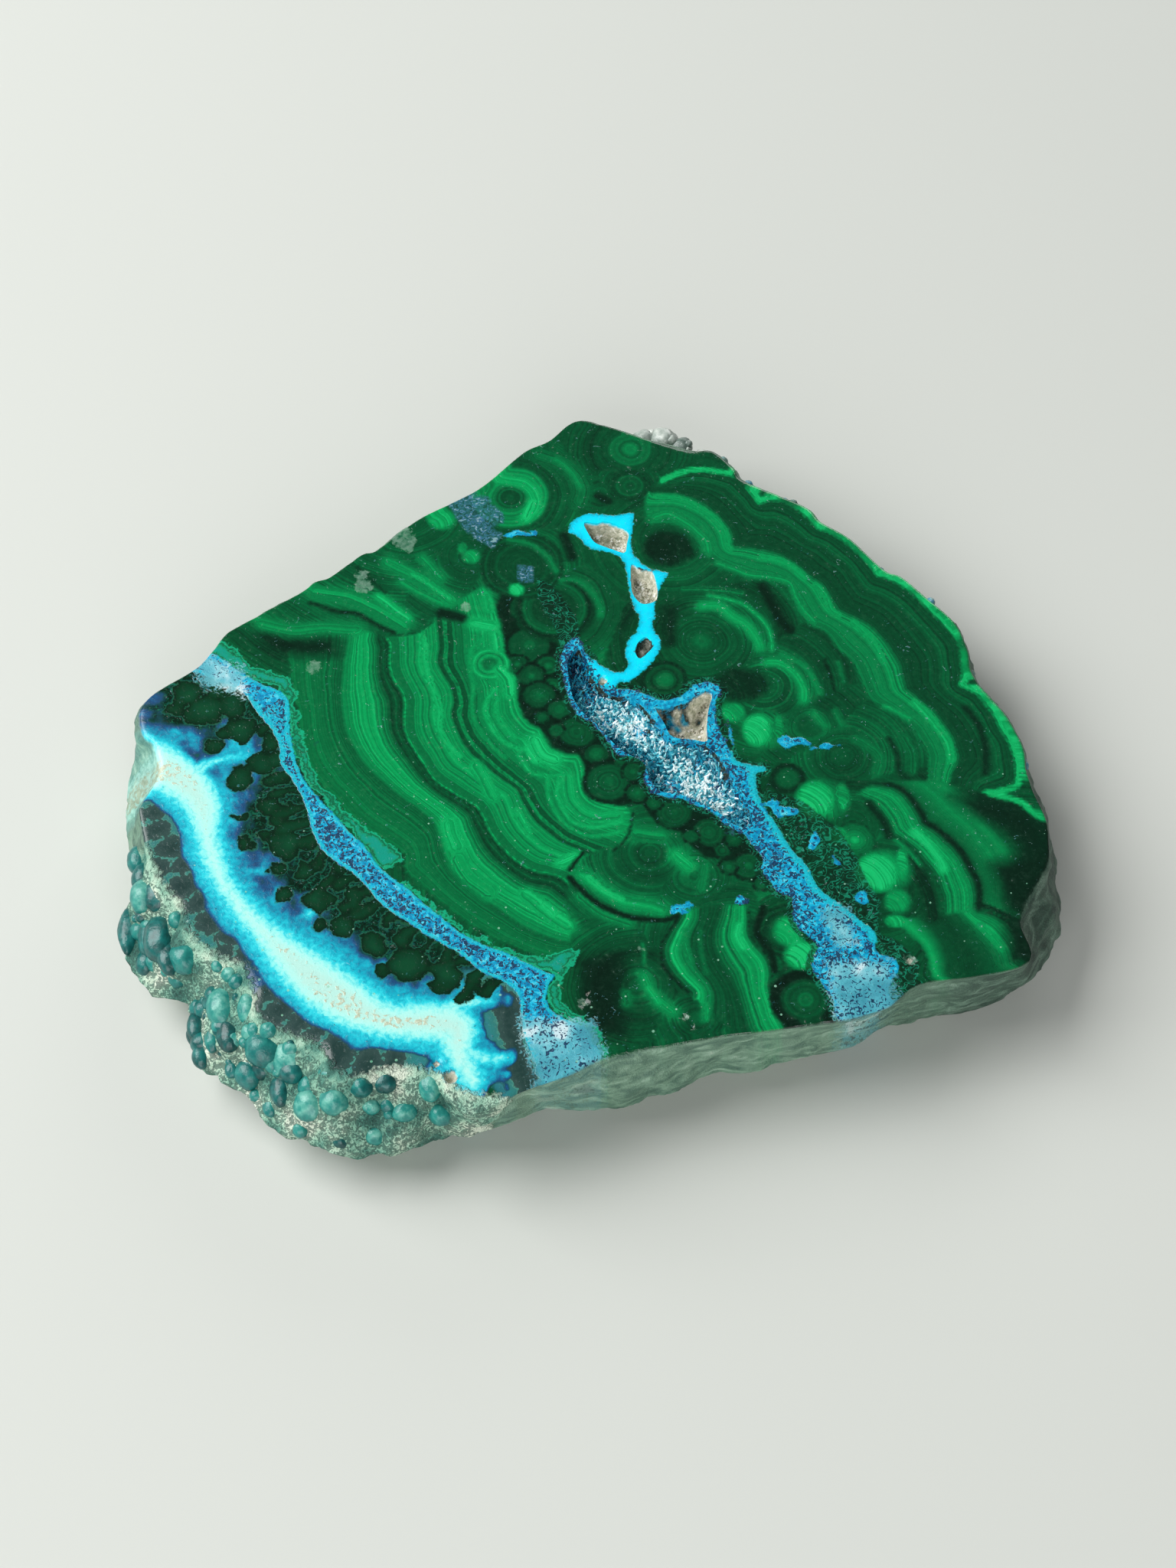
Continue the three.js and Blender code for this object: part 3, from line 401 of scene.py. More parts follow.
# Arcs and streaks, painted over the bands in this order: the path, its width and its tone.
STREAKS = [
    # Upper left
    ([(-20.5, 14), (-18, 13.4), (-15.5, 12), (-14, 10.8)], 1.4, 0.7),
    ([(-15.9, 13.6), (-14.7, 12.6), (-13.5, 11.6)], 0.7, 0.9),
    ([(-21, 13), (-20.1, 12.7), (-18.9, 12.2), (-17.4, 12), (-16.6, 11.4), (-15.6, 10.7),
      (-14.6, 10.2)], 0.4, 0.2),
    ([(-24.5, 11), (-22, 10.4), (-20, 10.6), (-17.4, 10.5)], 1.2, 0.66),
    ([(-14.1, 15), (-12.4, 13.8), (-10.6, 12.9)], 0.8, 0.7),
    ([(-15.2, 16.8), (-12.6, 15.2), (-11.4, 14.2), (-10.3, 13.3)], 1.1, 0.7),
    ([(-13.4, 15.7), (-12.6, 15.2), (-11.4, 14.2), (-10.4, 13.4)], 0.3, 0.88),
    ([(-12.6, 17.2), (-11.9, 16.2), (-11.2, 15.3)], 0.8, 0.7),
    ([(-17.6, 16.4), (-16.4, 15.2), (-15.4, 14)], 0.35, 0.25),
    ([(-15, 9.9), (-12.7, 10.3), (-11, 12)], 0.16, 0.3),
    ([(-11, 12.1), (-9.4, 11.6)], 0.9, 0.12),
    # The left bands and the lobes that they grew from
    ([(-7.7, 13.7), (-7.5, 12.4)], 0.7, 0.86), ([(-8.5, 11.1), (-7.2, 10.8)], 1.1, 0.92),
    ([(-7, 10), (-6.8, 8.8)], 0.9, 0.82), ([(-6.6, 6.8), (-5.9, 5.9), (-5.7, 4.6)], 1, 0.9),
    ([(-7.9, 9.6), (-8.8, 8.4), (-8.8, 6.8), (-8.5, 5.4), (-8.6, 3.6), (-8.3, 1.8), (-7.2, 0),
      (-6, -1.2)], 0.3, 0.76),
    ([(-12.3, 9.6), (-12, 7.4), (-11.5, 5), (-10.9, 3), (-11, 1.5), (-10.4, 0.2), (-9.4, -1)],
     0.35, 0.9),
    ([(-8.2, -1.9), (-7.6, -3), (-6.9, -4.6)], 1, 0.82), ([(-5.1, -6), (-4.3, -7.6)], 0.5, 0.82),
    ([(-6.9, 5), (-7.45, 4), (-7.5, 2.6), (-7, 1.2), (-6.1, 0.2), (-5, -0.5)], 0.3, 0.9),
    ([(-6.6, 4.2), (-6.8, 3), (-6.3, 1.6), (-5.4, 0.5)], 0.2, 0.85),
    ([(-3.9, 0.3), (-3.3, -0.9), (-2.5, -1.3)], 1.3, 0.95),
    ([(-4.5, -0.5), (-3.9, -1.5)], 0.7, 0.93),
    ([(-5.1, -1), (-4.2, -2.4), (-3.1, -2.8), (-2, -2.7)], 0.22, 0.86),
    ([(-4.7, -0.7), (-4, -2), (-3, -2.3)], 0.2, 0.6),
    ([(-1.5, -3), (-1.3, -4.6), (-0.6, -5.8), (0.5, -6.4), (2, -6.3)], 1.1, 0.82),
    ([(-2.2, -3.2), (-2.2, -4.8), (-1.5, -6.4), (-0.4, -7.1), (1, -7.2), (2.4, -6.8)], 0.25, 0.9),
    ([(-2.9, -3), (-2.8, -4.8), (-2, -6.6), (-0.6, -7.7), (1, -8), (2.4, -7.6)], 0.25, 0.84),
    ([(3.6, -7.8), (5.2, -8)], 1.3, 0.64), ([(3.2, -6), (2.9, -8), (1.8, -9.2)], 0.2, 0.2),
    ([(6.3, -9.6), (7.1, -10.6)], 1.1, 0.84), ([(8.4, -10.6), (8.1, -12.4)], 0.8, 0.55),
    ([(-10, -7), (-9.8, -8), (-9.5, -9)], 1.3, 0.9),
    ([(-9.3, -10), (-8.4, -11.6), (-7, -12.8)], 1.3, 0.74),
    ([(-1.9, -10.3), (-0.9, -9.8)], 0.9, 0.95), ([(-0.3, -9.4), (-1.3, -10.9)], 0.3, 0.1),
    ([(-4.4, -13), (-2.8, -14.5), (-1.4, -15.6)], 1.2, 0.84),
    ([(-3.1, -13.9), (-2.4, -14.6)], 0.5, 1),
    ([(-0.4, -11.3), (0.5, -12), (1.35, -12.75), (2.35, -13.5), (3.85, -13.8), (5.1, -14.2)],
     1.1, 0.8),
    ([(0, -11.6), (1.3, -12.8), (2.4, -13.4)], 0.45, 0.97),
    ([(-0.5, -13.2), (0.5, -14.1), (1.4, -14.7), (2.9, -15.3)], 0.8, 0.64),
    ([(-1.3, -11.5), (-0.3, -12.8), (0.9, -13.9), (2.35, -14.6), (3.6, -15), (5.1, -15.1),
      (6.3, -14.7)], 0.4, 0.08),
    # Lower middle
    ([(6.9, -15.9), (6.95, -17.4), (7.3, -18.6)], 0.4, 0.6),
    ([(8, -16), (7.9, -17.6), (8.3, -19.4)], 0.35, 0.5),
    ([(10.6, -15.6), (10.55, -16.4), (10.9, -17.3)], 0.5, 1),
    ([(12.4, -14), (11.9, -15.6), (12.3, -16.8), (12.9, -17.8), (13.1, -19.2)], 0.5, 0.1),
    ([(3.9, -19.6), (4.4, -20.9), (5.2, -21.9), (5.9, -22.6)], 0.9, 0.72),
    ([(4.2, -20.6), (5, -21.8)], 0.35, 0.85), ([(3.8, -17), (3.9, -18.6)], 0.3, 0.6),
    ([(2.7, -21.1), (2.7, -21.9)], 0.6, 0.62), ([(8.1, -22), (8.1, -23)], 0.6, 0.72),
    # Top
    ([(-7, 25), (-6, 24.9), (-4.9, 24.5), (-4.15, 23.5), (-4.05, 22.3), (-4.8, 21)], 0.95, 0.9),
    ([(-4.4, 22.7), (-4.8, 21.3)], 0.6, 1),
    ([(-3.8, 27.4), (-2.3, 26.8), (-1, 25.5), (-0.5, 24), (-0.7, 22.8)], 1.8, 0.46),
    ([(-2.5, 27), (-1.9, 26.5), (-1.15, 25.5), (-0.65, 24.3)], 0.6, 0.64),
    ([(-6, 19), (-4.5, 18.6), (-3, 17.3), (-2.4, 16)], 0.7, 0.5),
    ([(-2, 15.1), (-1, 15.1), (0, 14.3), (0.8, 13), (1, 11.8)], 0.5, 0.62),
    ([(-1.9, 19.4), (-1.2, 17.4)], 0.9, 0.14), ([(0.8, 23.4), (1.6, 22.8)], 0.8, 0.16),
    # The right bands and the lobes inside them
    ([(7, 19), (7.9, 17.6)], 0.9, 0.2),
    ([(5.4, 23.3), (7, 23.1), (8.5, 22.2), (9.5, 21.3), (10.2, 20.4), (10.6, 19.1), (10.9, 18.2)],
     0.5, 0.76),
    ([(5.2, 21.3), (6.2, 21.6), (7.4, 20.8), (8.3, 19.9), (9, 19.1), (9.2, 18)], 0.9, 0.62),
    ([(13.3, 17.4), (14.6, 17), (15.7, 16.3), (16.5, 15.4)], 0.5, 0.8),
    ([(17.3, 14.6), (18.05, 13.6), (18.3, 12.3), (18.8, 11.9)], 0.5, 0.78),
    ([(19.9, 11.2), (20.7, 10.2), (21.3, 9.1), (21.9, 7.6)], 0.5, 0.8),
    ([(9.9, 16.7), (10.9, 16.2), (12.3, 15.6), (13.8, 15.4), (15.2, 14.9), (15.7, 13.6),
      (16.2, 12.3), (17, 11.2)], 0.5, 0.66),
    ([(24.2, 3.7), (24.7, 3), (26, 0.9), (26.4, -0.2), (26.4, -1.4)], 0.6, 0.84),
    ([(21.8, 3.4), (23.7, 2.3)], 0.4, 0.72),
    ([(13.2, 14.5), (13.9, 12.8), (14.5, 11.4), (15.2, 10.4)], 0.8, 0.12),
    ([(6.1, 12.2), (6.1, 9.4)], 1.3, 0.2),
    ([(7.2, 14.3), (9.5, 14.3), (11.6, 13.9)], 0.5, 0.5),
    ([(9.1, 13.7), (10.4, 13.4), (11.7, 12.8), (12.8, 11.7), (13.4, 10.7), (13.7, 9.6),
      (13.7, 8.6)], 0.35, 0.76),
    ([(8.6, 12.7), (9.9, 12.7), (10.9, 11.7), (11.9, 10.9), (12.5, 9.9), (12.8, 8.9)],
     0.8, 0.84),
    ([(13.3, 7.4), (14.4, 7.3), (15.4, 6.2), (15.9, 5.1), (15.9, 4)], 0.8, 0.78),
    ([(14.4, 8.2), (15.7, 7.5), (16.5, 6.5), (17.1, 4.6)], 0.4, 0.68),
    ([(17.6, 7.6), (18, 6.2), (18.2, 4.8)], 0.3, 0.2), ([(18.6, 7.4), (19, 5.6)], 0.4, 0.5),
    ([(16.6, 2.7), (17.4, 1.7)], 0.6, 0.64), ([(18.2, 3), (18.7, 1.7)], 0.5, 0.56),
    ([(19.7, 0.4), (20.5, -0.2), (21.3, -1.2), (21, -2.5)], 0.7, 0.56),
    ([(22.1, 0.4), (22.6, -0.9), (22.6, -2.5)], 0.5, 0.22),
    ([(23.2, 0.6), (23.7, -0.8), (23.6, -2.4)], 0.7, 0.46),
    ([(27.9, 3.3), (28.7, 1.7), (29, -0.4), (28.9, -2.5)], 0.6, 0.2),
    # Lower right
    ([(20.3, -5.2), (21.3, -6.7), (21.6, -8)], 0.7, 0.18),
    ([(22.9, -10.2), (24, -12.2), (24.3, -14.8)], 1.1, 0.2),
    ([(23.5, -7.7), (24.2, -8.6), (25, -9.9), (25.3, -10.9)], 0.7, 1),
    ([(22.1, -8.4), (22.9, -9.4), (23.7, -10.4)], 0.25, 0.7),
    ([(27.6, -13.7), (28.8, -14.2), (29.8, -15), (30.4, -16)], 0.35, 0.16),
    ([(27.6, -15.4), (28.4, -16.4), (29, -17.4)], 0.5, 0.8),
]

# Where the cut passes through the tip of a lobe, or through its dark middle: (x, y, half width,
# half height, tone).
EYES = [
    (11.4, 5.4, 2.4, 1.8, 0.2), (6, 18.1, 2.2, 2, 0.18), (5.6, 18.4, 1.4, 1.3, 0.13),
    (17, -4.9, 2.2, 2.1, 0.56), (16.4, -4.9, 1.5, 1.8, 0.95), (18.4, -4.6, 0.5, 1.4, 0.7),
    (13, 1.3, 2, 2, 0.55), (12.4, 1.3, 1.2, 1.6, 0.92), (14, 1.5, 0.4, 1.3, 0.68),
    (10.7, 2.9, 1, 1, 0.76),
    (21.2, -10.9, 2.2, 2, 0.64), (20.5, -11.1, 1.7, 1.8, 0.97), (22.4, -10.4, 0.5, 1.4, 0.8),
    (21.9, -13.5, 1.1, 1.2, 0.74), (17.9, -7.9, 0.7, 0.8, 0.8), (21.7, -15.2, 0.9, 0.6, 0.8),
    (14.2, -16, 1.3, 1.4, 0.8), (15.2, -18, 1.6, 1.4, 0.98),
    (-5.4, 14.2, 0.7, 0.7, 1), (-11.2, 21, 1.2, 1.1, 0.8), (-8.9, 17.4, 0.8, 0.8, 0.74),
    (-9.6, 18.2, 0.4, 0.6, 0.7),
]
PALE_SPOTS = [
    (-17, 14.6, 0.7), (-17.2, 15.6, 0.5), (-14, 19, 0.9), (-13.6, 18.2, 0.4), (-9.2, 12.6, 0.4),
    (-20.4, 7, 0.55), (22.5, -18.3, 0.4), (-0.33, -21.8, 0.35), (3.6, -17.5, 0.25),
    (6.7, -22.9, 0.2),
]

# The bright green crackled fringe along the right side of the left vein.
FRINGE = [
    (-27.4, 9.8), (-26.2, 8.3), (-24.7, 7), (-23, 6.3), (-21.9, 5.9), (-21.7, 4.8),
    (-21.3, 3.2), (-21.2, 1.8), (-20.8, 0.2), (-20.3, -1.2), (-19.5, -3.2), (-18.3, -5),
    (-17.3, -6), (-16.2, -7), (-14.8, -8), (-13.7, -9), (-13.2, -10.3), (-14.8, -10.7),
    (-15.8, -9.3), (-17, -7.8), (-18.3, -6.2), (-19.3, -5), (-20.3, -3.7), (-21, -2.3),
    (-21.5, -0.8), (-21.8, 0.7), (-22, 2.2), (-22.2, 4), (-23, 4.9), (-24.3, 5.5),
    (-25.8, 6.5), (-27.2, 7.6), (-28.25, 8.25),
]
LOWER_FRINGE = [
    (-13.1, -11.7), (-10.9, -13.8), (-8, -16.3), (-6.4, -17), (-5.2, -17.5), (-3, -18.2), (-1.2, -17.2), (-0.2, -17.4),
    (-1.5, -19), (-1.9, -20.4), (-1.6, -21.8), (-0.4, -22.6), (0.6, -23.8), (1.8, -25.8),
    (1.2, -26.6), (0.3, -25), (-0.3, -23.8), (-2.3, -22.7), (-2.9, -21.7), (-2.8, -20.4),
    (-2.4, -19.6), (-3, -19.3), (-4, -18.8), (-5.3, -18), (-8, -16.8), (-11, -14.3), (-13.4, -12),
]

# Patches of dark ground with pale curls, of blue-grey azurite, and of milky vein.
STALACTITE_GROUND = [
    (-32.6, 4.6), (-28.6, 7.2), (-25, 4.4), (-22.6, 0), (-20.2, -6), (-14, -14.6), (-8, -19),
    (-5, -20.6), (-8, -21.8), (-12, -21.4), (-16, -19), (-20, -15.8), (-23.6, -11.4),
    (-25.2, -7), (-25.6, -3), (-28, 0.6), (-32.8, 2.4),
]
MOSS = [
    [(19.6, -16), (21.6, -16.6), (23.2, -18.6), (22.8, -20.4), (21, -21.4), (20, -18.6)],
    [(13, -4), (15.5, -5), (18, -7.4), (19.2, -10), (20.6, -13.5), (20.4, -16.5), (17.7, -14),
     (15.6, -11), (13.8, -7.6)],
    [(-3.8, 15.4), (-2.2, 14), (-0.8, 11.4), (-0.4, 8.4), (-1.8, 8.5), (-2.6, 11), (-3.8, 13.6)],
]
AZURITE = [
    [(-10.7, 22.3), (-9.3, 23.2), (-7.8, 23.3), (-6.7, 21.7), (-6.5, 20.7), (-7.5, 20.2),
     (-6.5, 19.7), (-7.2, 18.3), (-8.5, 19), (-9.8, 20.7)],
    [(-5.4, 16.6), (-4.2, 16.4), (-4.3, 15.2), (-5.2, 15.3)],
]
MILK = [
    [(-29.5, 8.5), (-25.6, 6.6), (-25.4, 4.4), (-28.6, 5.4)],
    [(-4.6, -23), (0.4, -23.4), (2, -29), (-3.4, -29)],
    [(16.4, -14), (18.2, -14), (19, -17), (17.4, -17.5)],
    [(16.6, -18.4), (21, -18.4), (21.6, -24), (17.4, -24)],
]
DARK_PATCHES = [
    (STALACTITE_GROUND, 0.1),
    ([(26.4, -4.6), (29, -4.9), (31.4, -5.6), (32.9, -7.5), (33, -10.5), (31.4, -9.4), (30, -7.4),
      (28.2, -6.2)], 0.13),
    ([(28.8, -10.5), (33, -9), (34, -14), (31.5, -19), (29.4, -18.6), (29.6, -14.5)], 0.12),
    ([(-25, 10), (-22, 9.9), (-19, 9.6), (-18.8, 8.2), (-21, 8), (-23.4, 8.4)], 0.14),
    ([(-0.6, -18.4), (2.2, -18), (2.6, -24.6), (-0.2, -24.4)], 0.1),
]
# Grey ground between the ends of the white vein and the left vein.
ASH = [
    (-8.4, -20.4), (-6.4, -20.2), (-5, -21), (-4.6, -23), (-4.2, -25.4), (-3.6, -27.6),
    (-2.9, -28.8), (-4.6, -29), (-5.4, -27.6), (-5.8, -25), (-6.2, -23.4), (-7, -21.8),
]


# The pale rough crust between the nodules of the lower left rim.
CRUST = [
    (-34.5, -7.5), (-31.6, -9), (-30.2, -12.2), (-28.9, -13.6), (-28.2, -16.1), (-26, -18),
    (-24.2, -18.8), (-23.4, -20.6), (-23.2, -22.4), (-21.9, -23.7), (-18.4, -25.2),
    (-17.7, -26.7), (-16.3, -27.8), (-13.5, -26.9), (-11.2, -27), (-10, -27.6), (-8.4, -28.8),
    (-5.4, -29.4), (-5, -31), (-12, -33), (-24, -32), (-35, -20),
]


def smooth(path, closed=False, steps=5):
    """A curve through the points of a path, as a finer path. A point given twice is a corner."""
    points = np.array(path, float)
    if closed:
        before, after, later = (np.roll(points, shift, axis=0) for shift in (1, -1, -2))
    else:
        before = np.vstack([points[:1], points[:-1]])[:-1]
        after = points[1:]
        later = np.vstack([points[2:], points[-1:]])
        points = points[:-1]
    apart = np.any(points != after, axis=1)
    share = (np.arange(steps) / steps)[None, :, None]
    p0, p1, p2, p3 = (p[apart][:, None, :] for p in (before, points, after, later))
    curve = 0.5 * (
        2 * p1
        + (p2 - p0) * share
        + (2 * p0 - 5 * p1 + 4 * p2 - p3) * share**2
        + (3 * p1 - p0 - 3 * p2 + p3) * share**3
    )
    curve = curve.reshape(-1, points.shape[1])
    return curve if closed else np.vstack([curve, np.array(path[-1:], float)])


def noise(points, size, seed=0):
    """Smooth noise from -1 to 1, with lumps of about that size."""
    grid = np.asarray(points, float) / size
    base = np.floor(grid).astype(np.int64)
    part = grid - base
    part = part * part * (3 - 2 * part)
    primes = np.array([73856093, 19349663, 83492791])[: grid.shape[1]]
    total = np.zeros(len(grid))
    for corner in np.ndindex(*(2,) * grid.shape[1]):
        key = (base + corner) @ primes + seed * 7919
        key = ((key ^ (key >> 13)) * 1274126177) & 0x7FFFFFFF
        value = ((key ^ (key >> 16)) & 0xFFFF) / 0x7FFF - 1
        total += value * np.prod(np.where(corner, part, 1 - part), axis=1)
    return total


def fractal(points, size, octaves, seed=0):
    """Noise with finer and finer lumps, each half as high as the last."""
    return sum(noise(points, size / 2**i, seed + i) / 2**i for i in range(octaves))


def path_distance(points, path, closed=False, reach=90):
    """The distance of each point from a path, at most reach, and the side of the path that it is
    on: 1 on its left, -1 on its right."""
    path = np.asarray(path, float)
    ends = np.roll(path, -1, axis=0) if closed else path[1:]
    distance, side = np.full(len(points), float(reach)), np.full(len(points), -1.0)
    low, high = path.min(axis=0) - reach, path.max(axis=0) + reach
    close = np.flatnonzero(np.all((points > low) & (points < high), axis=1))
    x, y = points[close].T
    nearest, left = np.full(len(close), float(reach) ** 2), np.full(len(close), -1.0)
    for (ax, ay), (bx, by) in zip(path, ends):
        dx, dy = bx - ax, by - ay
        from_x, from_y = x - ax, y - ay
        share = np.clip((from_x * dx + from_y * dy) / max(dx * dx + dy * dy, 1e-12), 0, 1)
        gap_x, gap_y = from_x - share * dx, from_y - share * dy
        squared = gap_x * gap_x + gap_y * gap_y
        closer = squared < nearest
        nearest = np.where(closer, squared, nearest)
        left = np.where(closer, np.sign(dx * gap_y - dy * gap_x), left)
    distance[close], side[close] = np.sqrt(nearest), left
    return distance, side


def outline_distance(points, outline, reach=4):
    """The distance of each point from a closed outline, at most reach, negative inside it."""
    outline = np.asarray(outline, float)
    distance, _ = path_distance(points, outline, closed=True, reach=reach)
    x, y = points.T
    inside = np.zeros(len(points), bool)
    for (ax, ay), (bx, by) in zip(outline, np.roll(outline, -1, axis=0)):
        crosses = (ay > y) != (by > y)
        inside ^= crosses & (x < ax + (bx - ax) * (y - ay) / (by - ay if by != ay else 1))
    return np.where(inside, -distance, distance)


def cover(distance, softness):
    """1 inside a signed distance of 0, 0 outside it, with a soft edge."""
    return np.clip(0.5 - distance / softness, 0, 1)


def nearest_disc(points, discs):
    """The signed distance to the nearest of many discs."""
    return np.min([np.hypot(*(points - (x, y)).T) - r for x, y, r in discs], axis=0)


def nearest_oval(points, ovals):
    """Roughly the signed distance to the nearest of many ovals."""
    return np.min(
        [(np.hypot(*((points - (x, y)) / (a, b)).T) - 1) * min(a, b) for x, y, a, b in ovals],
        axis=0,
    )


def tapered_distance(points, path):
    """The signed distance to a path whose third number is its half width."""
    path = smooth(path)
    nearest = np.full(len(points), np.inf)
    for start, end in zip(path, path[1:]):
        along = end[:2] - start[:2]
        from_start = points - start[:2]
        share = np.clip(from_start @ along / (along @ along), 0, 1)
        gap = np.hypot(*(from_start - share[:, None] * along).T)
        nearest = np.minimum(nearest, gap - start[2] - share * (end[2] - start[2]))
    return nearest


def finger_distance(points):
    """The signed distance to the nearest of the stalactites cut along their length."""
    random = np.random.default_rng(11)
    roots = evenly_open(smooth(FINGER_ROOTS), FINGER_SPACING)
    nearest = np.full(len(points), np.inf)
    for (x, y), along in zip(roots, np.gradient(roots, axis=0)):
        dx, dy = np.array([along[1], -along[0]]) / np.hypot(*along)
        length, lean, width = random.uniform((0.6, -0.35, 0.5), (2.6, 0.35, 0.8))
        tip = (x + length * (dx - lean * dy), y + length * (dy + lean * dx), width)
        path = [(x - dx, y - dy, 0.5), (x, y, 0.45), tip]
        nearest = np.minimum(nearest, tapered_distance(points, path))
    return nearest


def evenly_open(curve, spacing):
    """A curve as points about that far apart."""
    length = np.concatenate([[0], np.cumsum(np.hypot(*np.diff(curve, axis=0).T))])
    places = np.arange(0, length[-1], spacing)
    return np.stack([np.interp(places, length, curve[:, i]) for i in (0, 1)], axis=1)


def pattern(points):
    """The fields of the cut face at points of the plan, by name."""
    wavy = points + 0.08 * np.stack([noise(points, 1.5, 1), noise(points, 1.5, 2)], axis=1)
    wavy += 0.03 * np.stack([noise(points, 0.5, 3), noise(points, 0.5, 4)], axis=1)
    radii = [np.hypot(np.hypot(*(wavy - (x, y)).T), 1.2) - reach for x, y, reach in MIDDLES]
    phase = np.min(radii, axis=0) + 7 * np.argmin(radii, axis=0)
    rings = np.stack([phase, np.zeros(len(points))], axis=1)
    tone = 0.36 + 0.07 * fractal(rings, 1.3, 3, 6) + 0.05 * fractal(wavy, 4, 3, 5)

    def paint(mask, new_tone, new_phase=None):
        nonlocal tone, phase
        tone = tone + (new_tone - tone) * mask
        if new_phase is not None:
            phase = np.where(mask > 0.5, new_phase, phase)

    streaks = [(*path_distance(wavy, smooth(path), reach=2 * width), width, level)
               for path, width, level in STREAKS]
    for distance, _, width, level in streaks:
        if level > 0.6:
            paint(cover(distance - 0.9 * width, 1.5 * width), 0.3 + 0.25 * level)

    for bands, outline, start in (
        (LEFT_BANDS, LEFT_FIELD, 0), (RIGHT_BANDS, RIGHT_FIELD, 40), (LOWER_BANDS, LOWER_FIELD, 80),
        (CORNER_BANDS, CORNER_FIELD, 120), (BOTTOM_BANDS, BOTTOM_FIELD, 160),
    ):
        field = cover(outline_distance(wavy, smooth(outline, closed=True)), 0.3)
        sides = [np.prod(path_distance(wavy, smooth(curve)), axis=0) for curve, _ in bands]
        for (_, profile), inner, outer in zip(bands, sides, sides[1:]):
            share = inner / np.maximum(inner - outer, 1e-6)
            here = (inner >= 0) & (outer < 0)
            width = np.median((inner - outer)[here]) if here.any() else 0
            level = np.interp(share, *zip(*profile))
            paint(field * here, level, start + share * width)
            start += width

    for outline, level in DARK_PATCHES:
        paint(cover(outline_distance(wavy, outline), 1.6), level)
    paint(cover(outline_distance(wavy, LEFT_BANDS[-1][0][1:] + STRIP_BACK), 0.3), 0.13)
    for x, y, radius in SOFT_NODULES:
        out = np.hypot(*(wavy - (x, y)).T) / (1.12 * radius)
        level = 0.42 - 0.24 * out**2 + 0.03 * np.sin(11 * out) - np.clip(out - 0.85, 0, 1)
        paint(cover(out - 1, 0.1), level, 9 * x + radius * np.hypot(out, 0.4))
    for i, (middle, profile) in enumerate(ROUND_NODULES):
        radius = np.hypot(*(wavy - middle).T)
        level = np.interp(radius, *zip(*profile))
        paint(cover(radius - profile[-1][0], 0.15), level, 3 * i + 0.6 * np.hypot(radius, 0.5))
    for i, (distance, side, width, level) in enumerate(streaks):
        soft = max(0.14, (0.85 if level > 0.5 else 0.5) * width)
        paint(cover(distance - 0.45 * width, soft), level, 5 * i + distance * side)
    for x, y, width, height, level in EYES:
        out = np.hypot(*((wavy - (x, y)) / (width, height)).T)
        from_foot = np.hypot(*(wavy - (x - 0.9 * width, y - 0.7 * height)).T)
        paint(np.clip(1.3 * (1 - out**3), 0, 1), level, 3 * x + from_foot)

    # The bright outermost band and the thin dark line outside it
    distance, side = path_distance(wavy, smooth(RIGHT_BANDS[-1][0], steps=3), reach=3)
    beyond = (wavy[:, 0] < 28.8) & (wavy[:, 1] < -4.2)
    outside = np.where((wavy[:, 0] > 5.6) & ~beyond, distance * side, -1)
    paint(cover(np.abs(outside - 0.05) - 0.28, 0.15), 0.9)
    paint(cover(0.4 - outside, 0.2) * (outside > 0), 0.34)

    veins = [outline_distance(wavy, smooth(o, closed=True, steps=3))
             for o in (LEFT_VEIN, UPPER_LOOP, CENTRAL_VEIN)]
    white = np.min([tapered_distance(wavy, p) for p in (WHITE_VEIN, *WHITE_BRANCHES)], axis=0)
    _, inner_side = path_distance(wavy, np.array(WHITE_VEIN)[:, :2])
    x = points[:, 0]
    spread = np.interp(x, [-32, -27.6, -26, -23.5, -21, -16, -13, -9.5, -7],
                       [2.4, 2.2, 1.1, 0.9, 0.7, 0.65, 1, 1.6, 1.3])
    uneven = 1 + 0.3 * noise(points, 1.6, 14)
    outer = np.where(white > 0, uneven * white, white)
    outer = np.minimum(outer, 0.6 * outer + 0.06) + 7 * np.clip(outer - 0.9, 0, 1)
    inner = np.where(spread * white < 1, spread * white, 1 + white - 1 / spread)
    inner = np.where(white > 0, uneven * inner, white)
    inner += 1.3 * np.clip(inner - 0.5, 0, 1) * fractal(points, 1.1, 2, 18)
    inner += np.interp(x, [-10.5, -8.5], [0, 4]) * np.clip(inner - 0.9, 0, 1)
    white = np.where(inner_side < 0, outer, inner)
    ragged = points + 0.3 * np.stack([noise(points, 0.9, 11), noise(points, 0.9, 12)], axis=1)
    patches = nearest_oval(ragged, BLUE_PATCHES) + 0.2 * noise(points, 0.6, 19)
    fingers = finger_distance(ragged)
    milk = np.min([outline_distance(wavy, o) for o in MILK], axis=0)
    vein = np.min([veins[0], veins[2], patches], axis=0)
    central = veins[2] < veins[0]
    speck = np.where(central, 0.74, 0.64 + 0.08 * np.clip((4 - points[:, 1]) / 6, 0, 1))
    speck += 0.12 * noise(points, 1.3, 17) - 0.2 * cover(nearest_disc(points, [(6, 3, 3.4)]), 1.6)
    fuzzy = central & (points[:, 0] < 10.4) & (points[:, 1] < 9.5)
    middle = np.interp(points[:, 1], [-22, -16, -10, -5, 0], [19.5, 17.6, 13.9, 11.3, 9])
    fuzzy |= central & (points[:, 0] < middle)
    speck += 0.1 * fuzzy * (points[:, 0] < 2.5)
    speck *= np.where(fuzzy, cover(vein - 0.15, 0.1), np.clip(-vein / 0.3, 0, 1))
    first, second = np.sort([np.hypot(*(wavy - (x, y)).T) - r for x, y, r in GREY_NODULES],
                            axis=0)[:2]
    grey = np.min([np.maximum(first, (first - second) / 2 + 0.05),
                   outline_distance(ragged, smooth(ASH, closed=True))], axis=0)
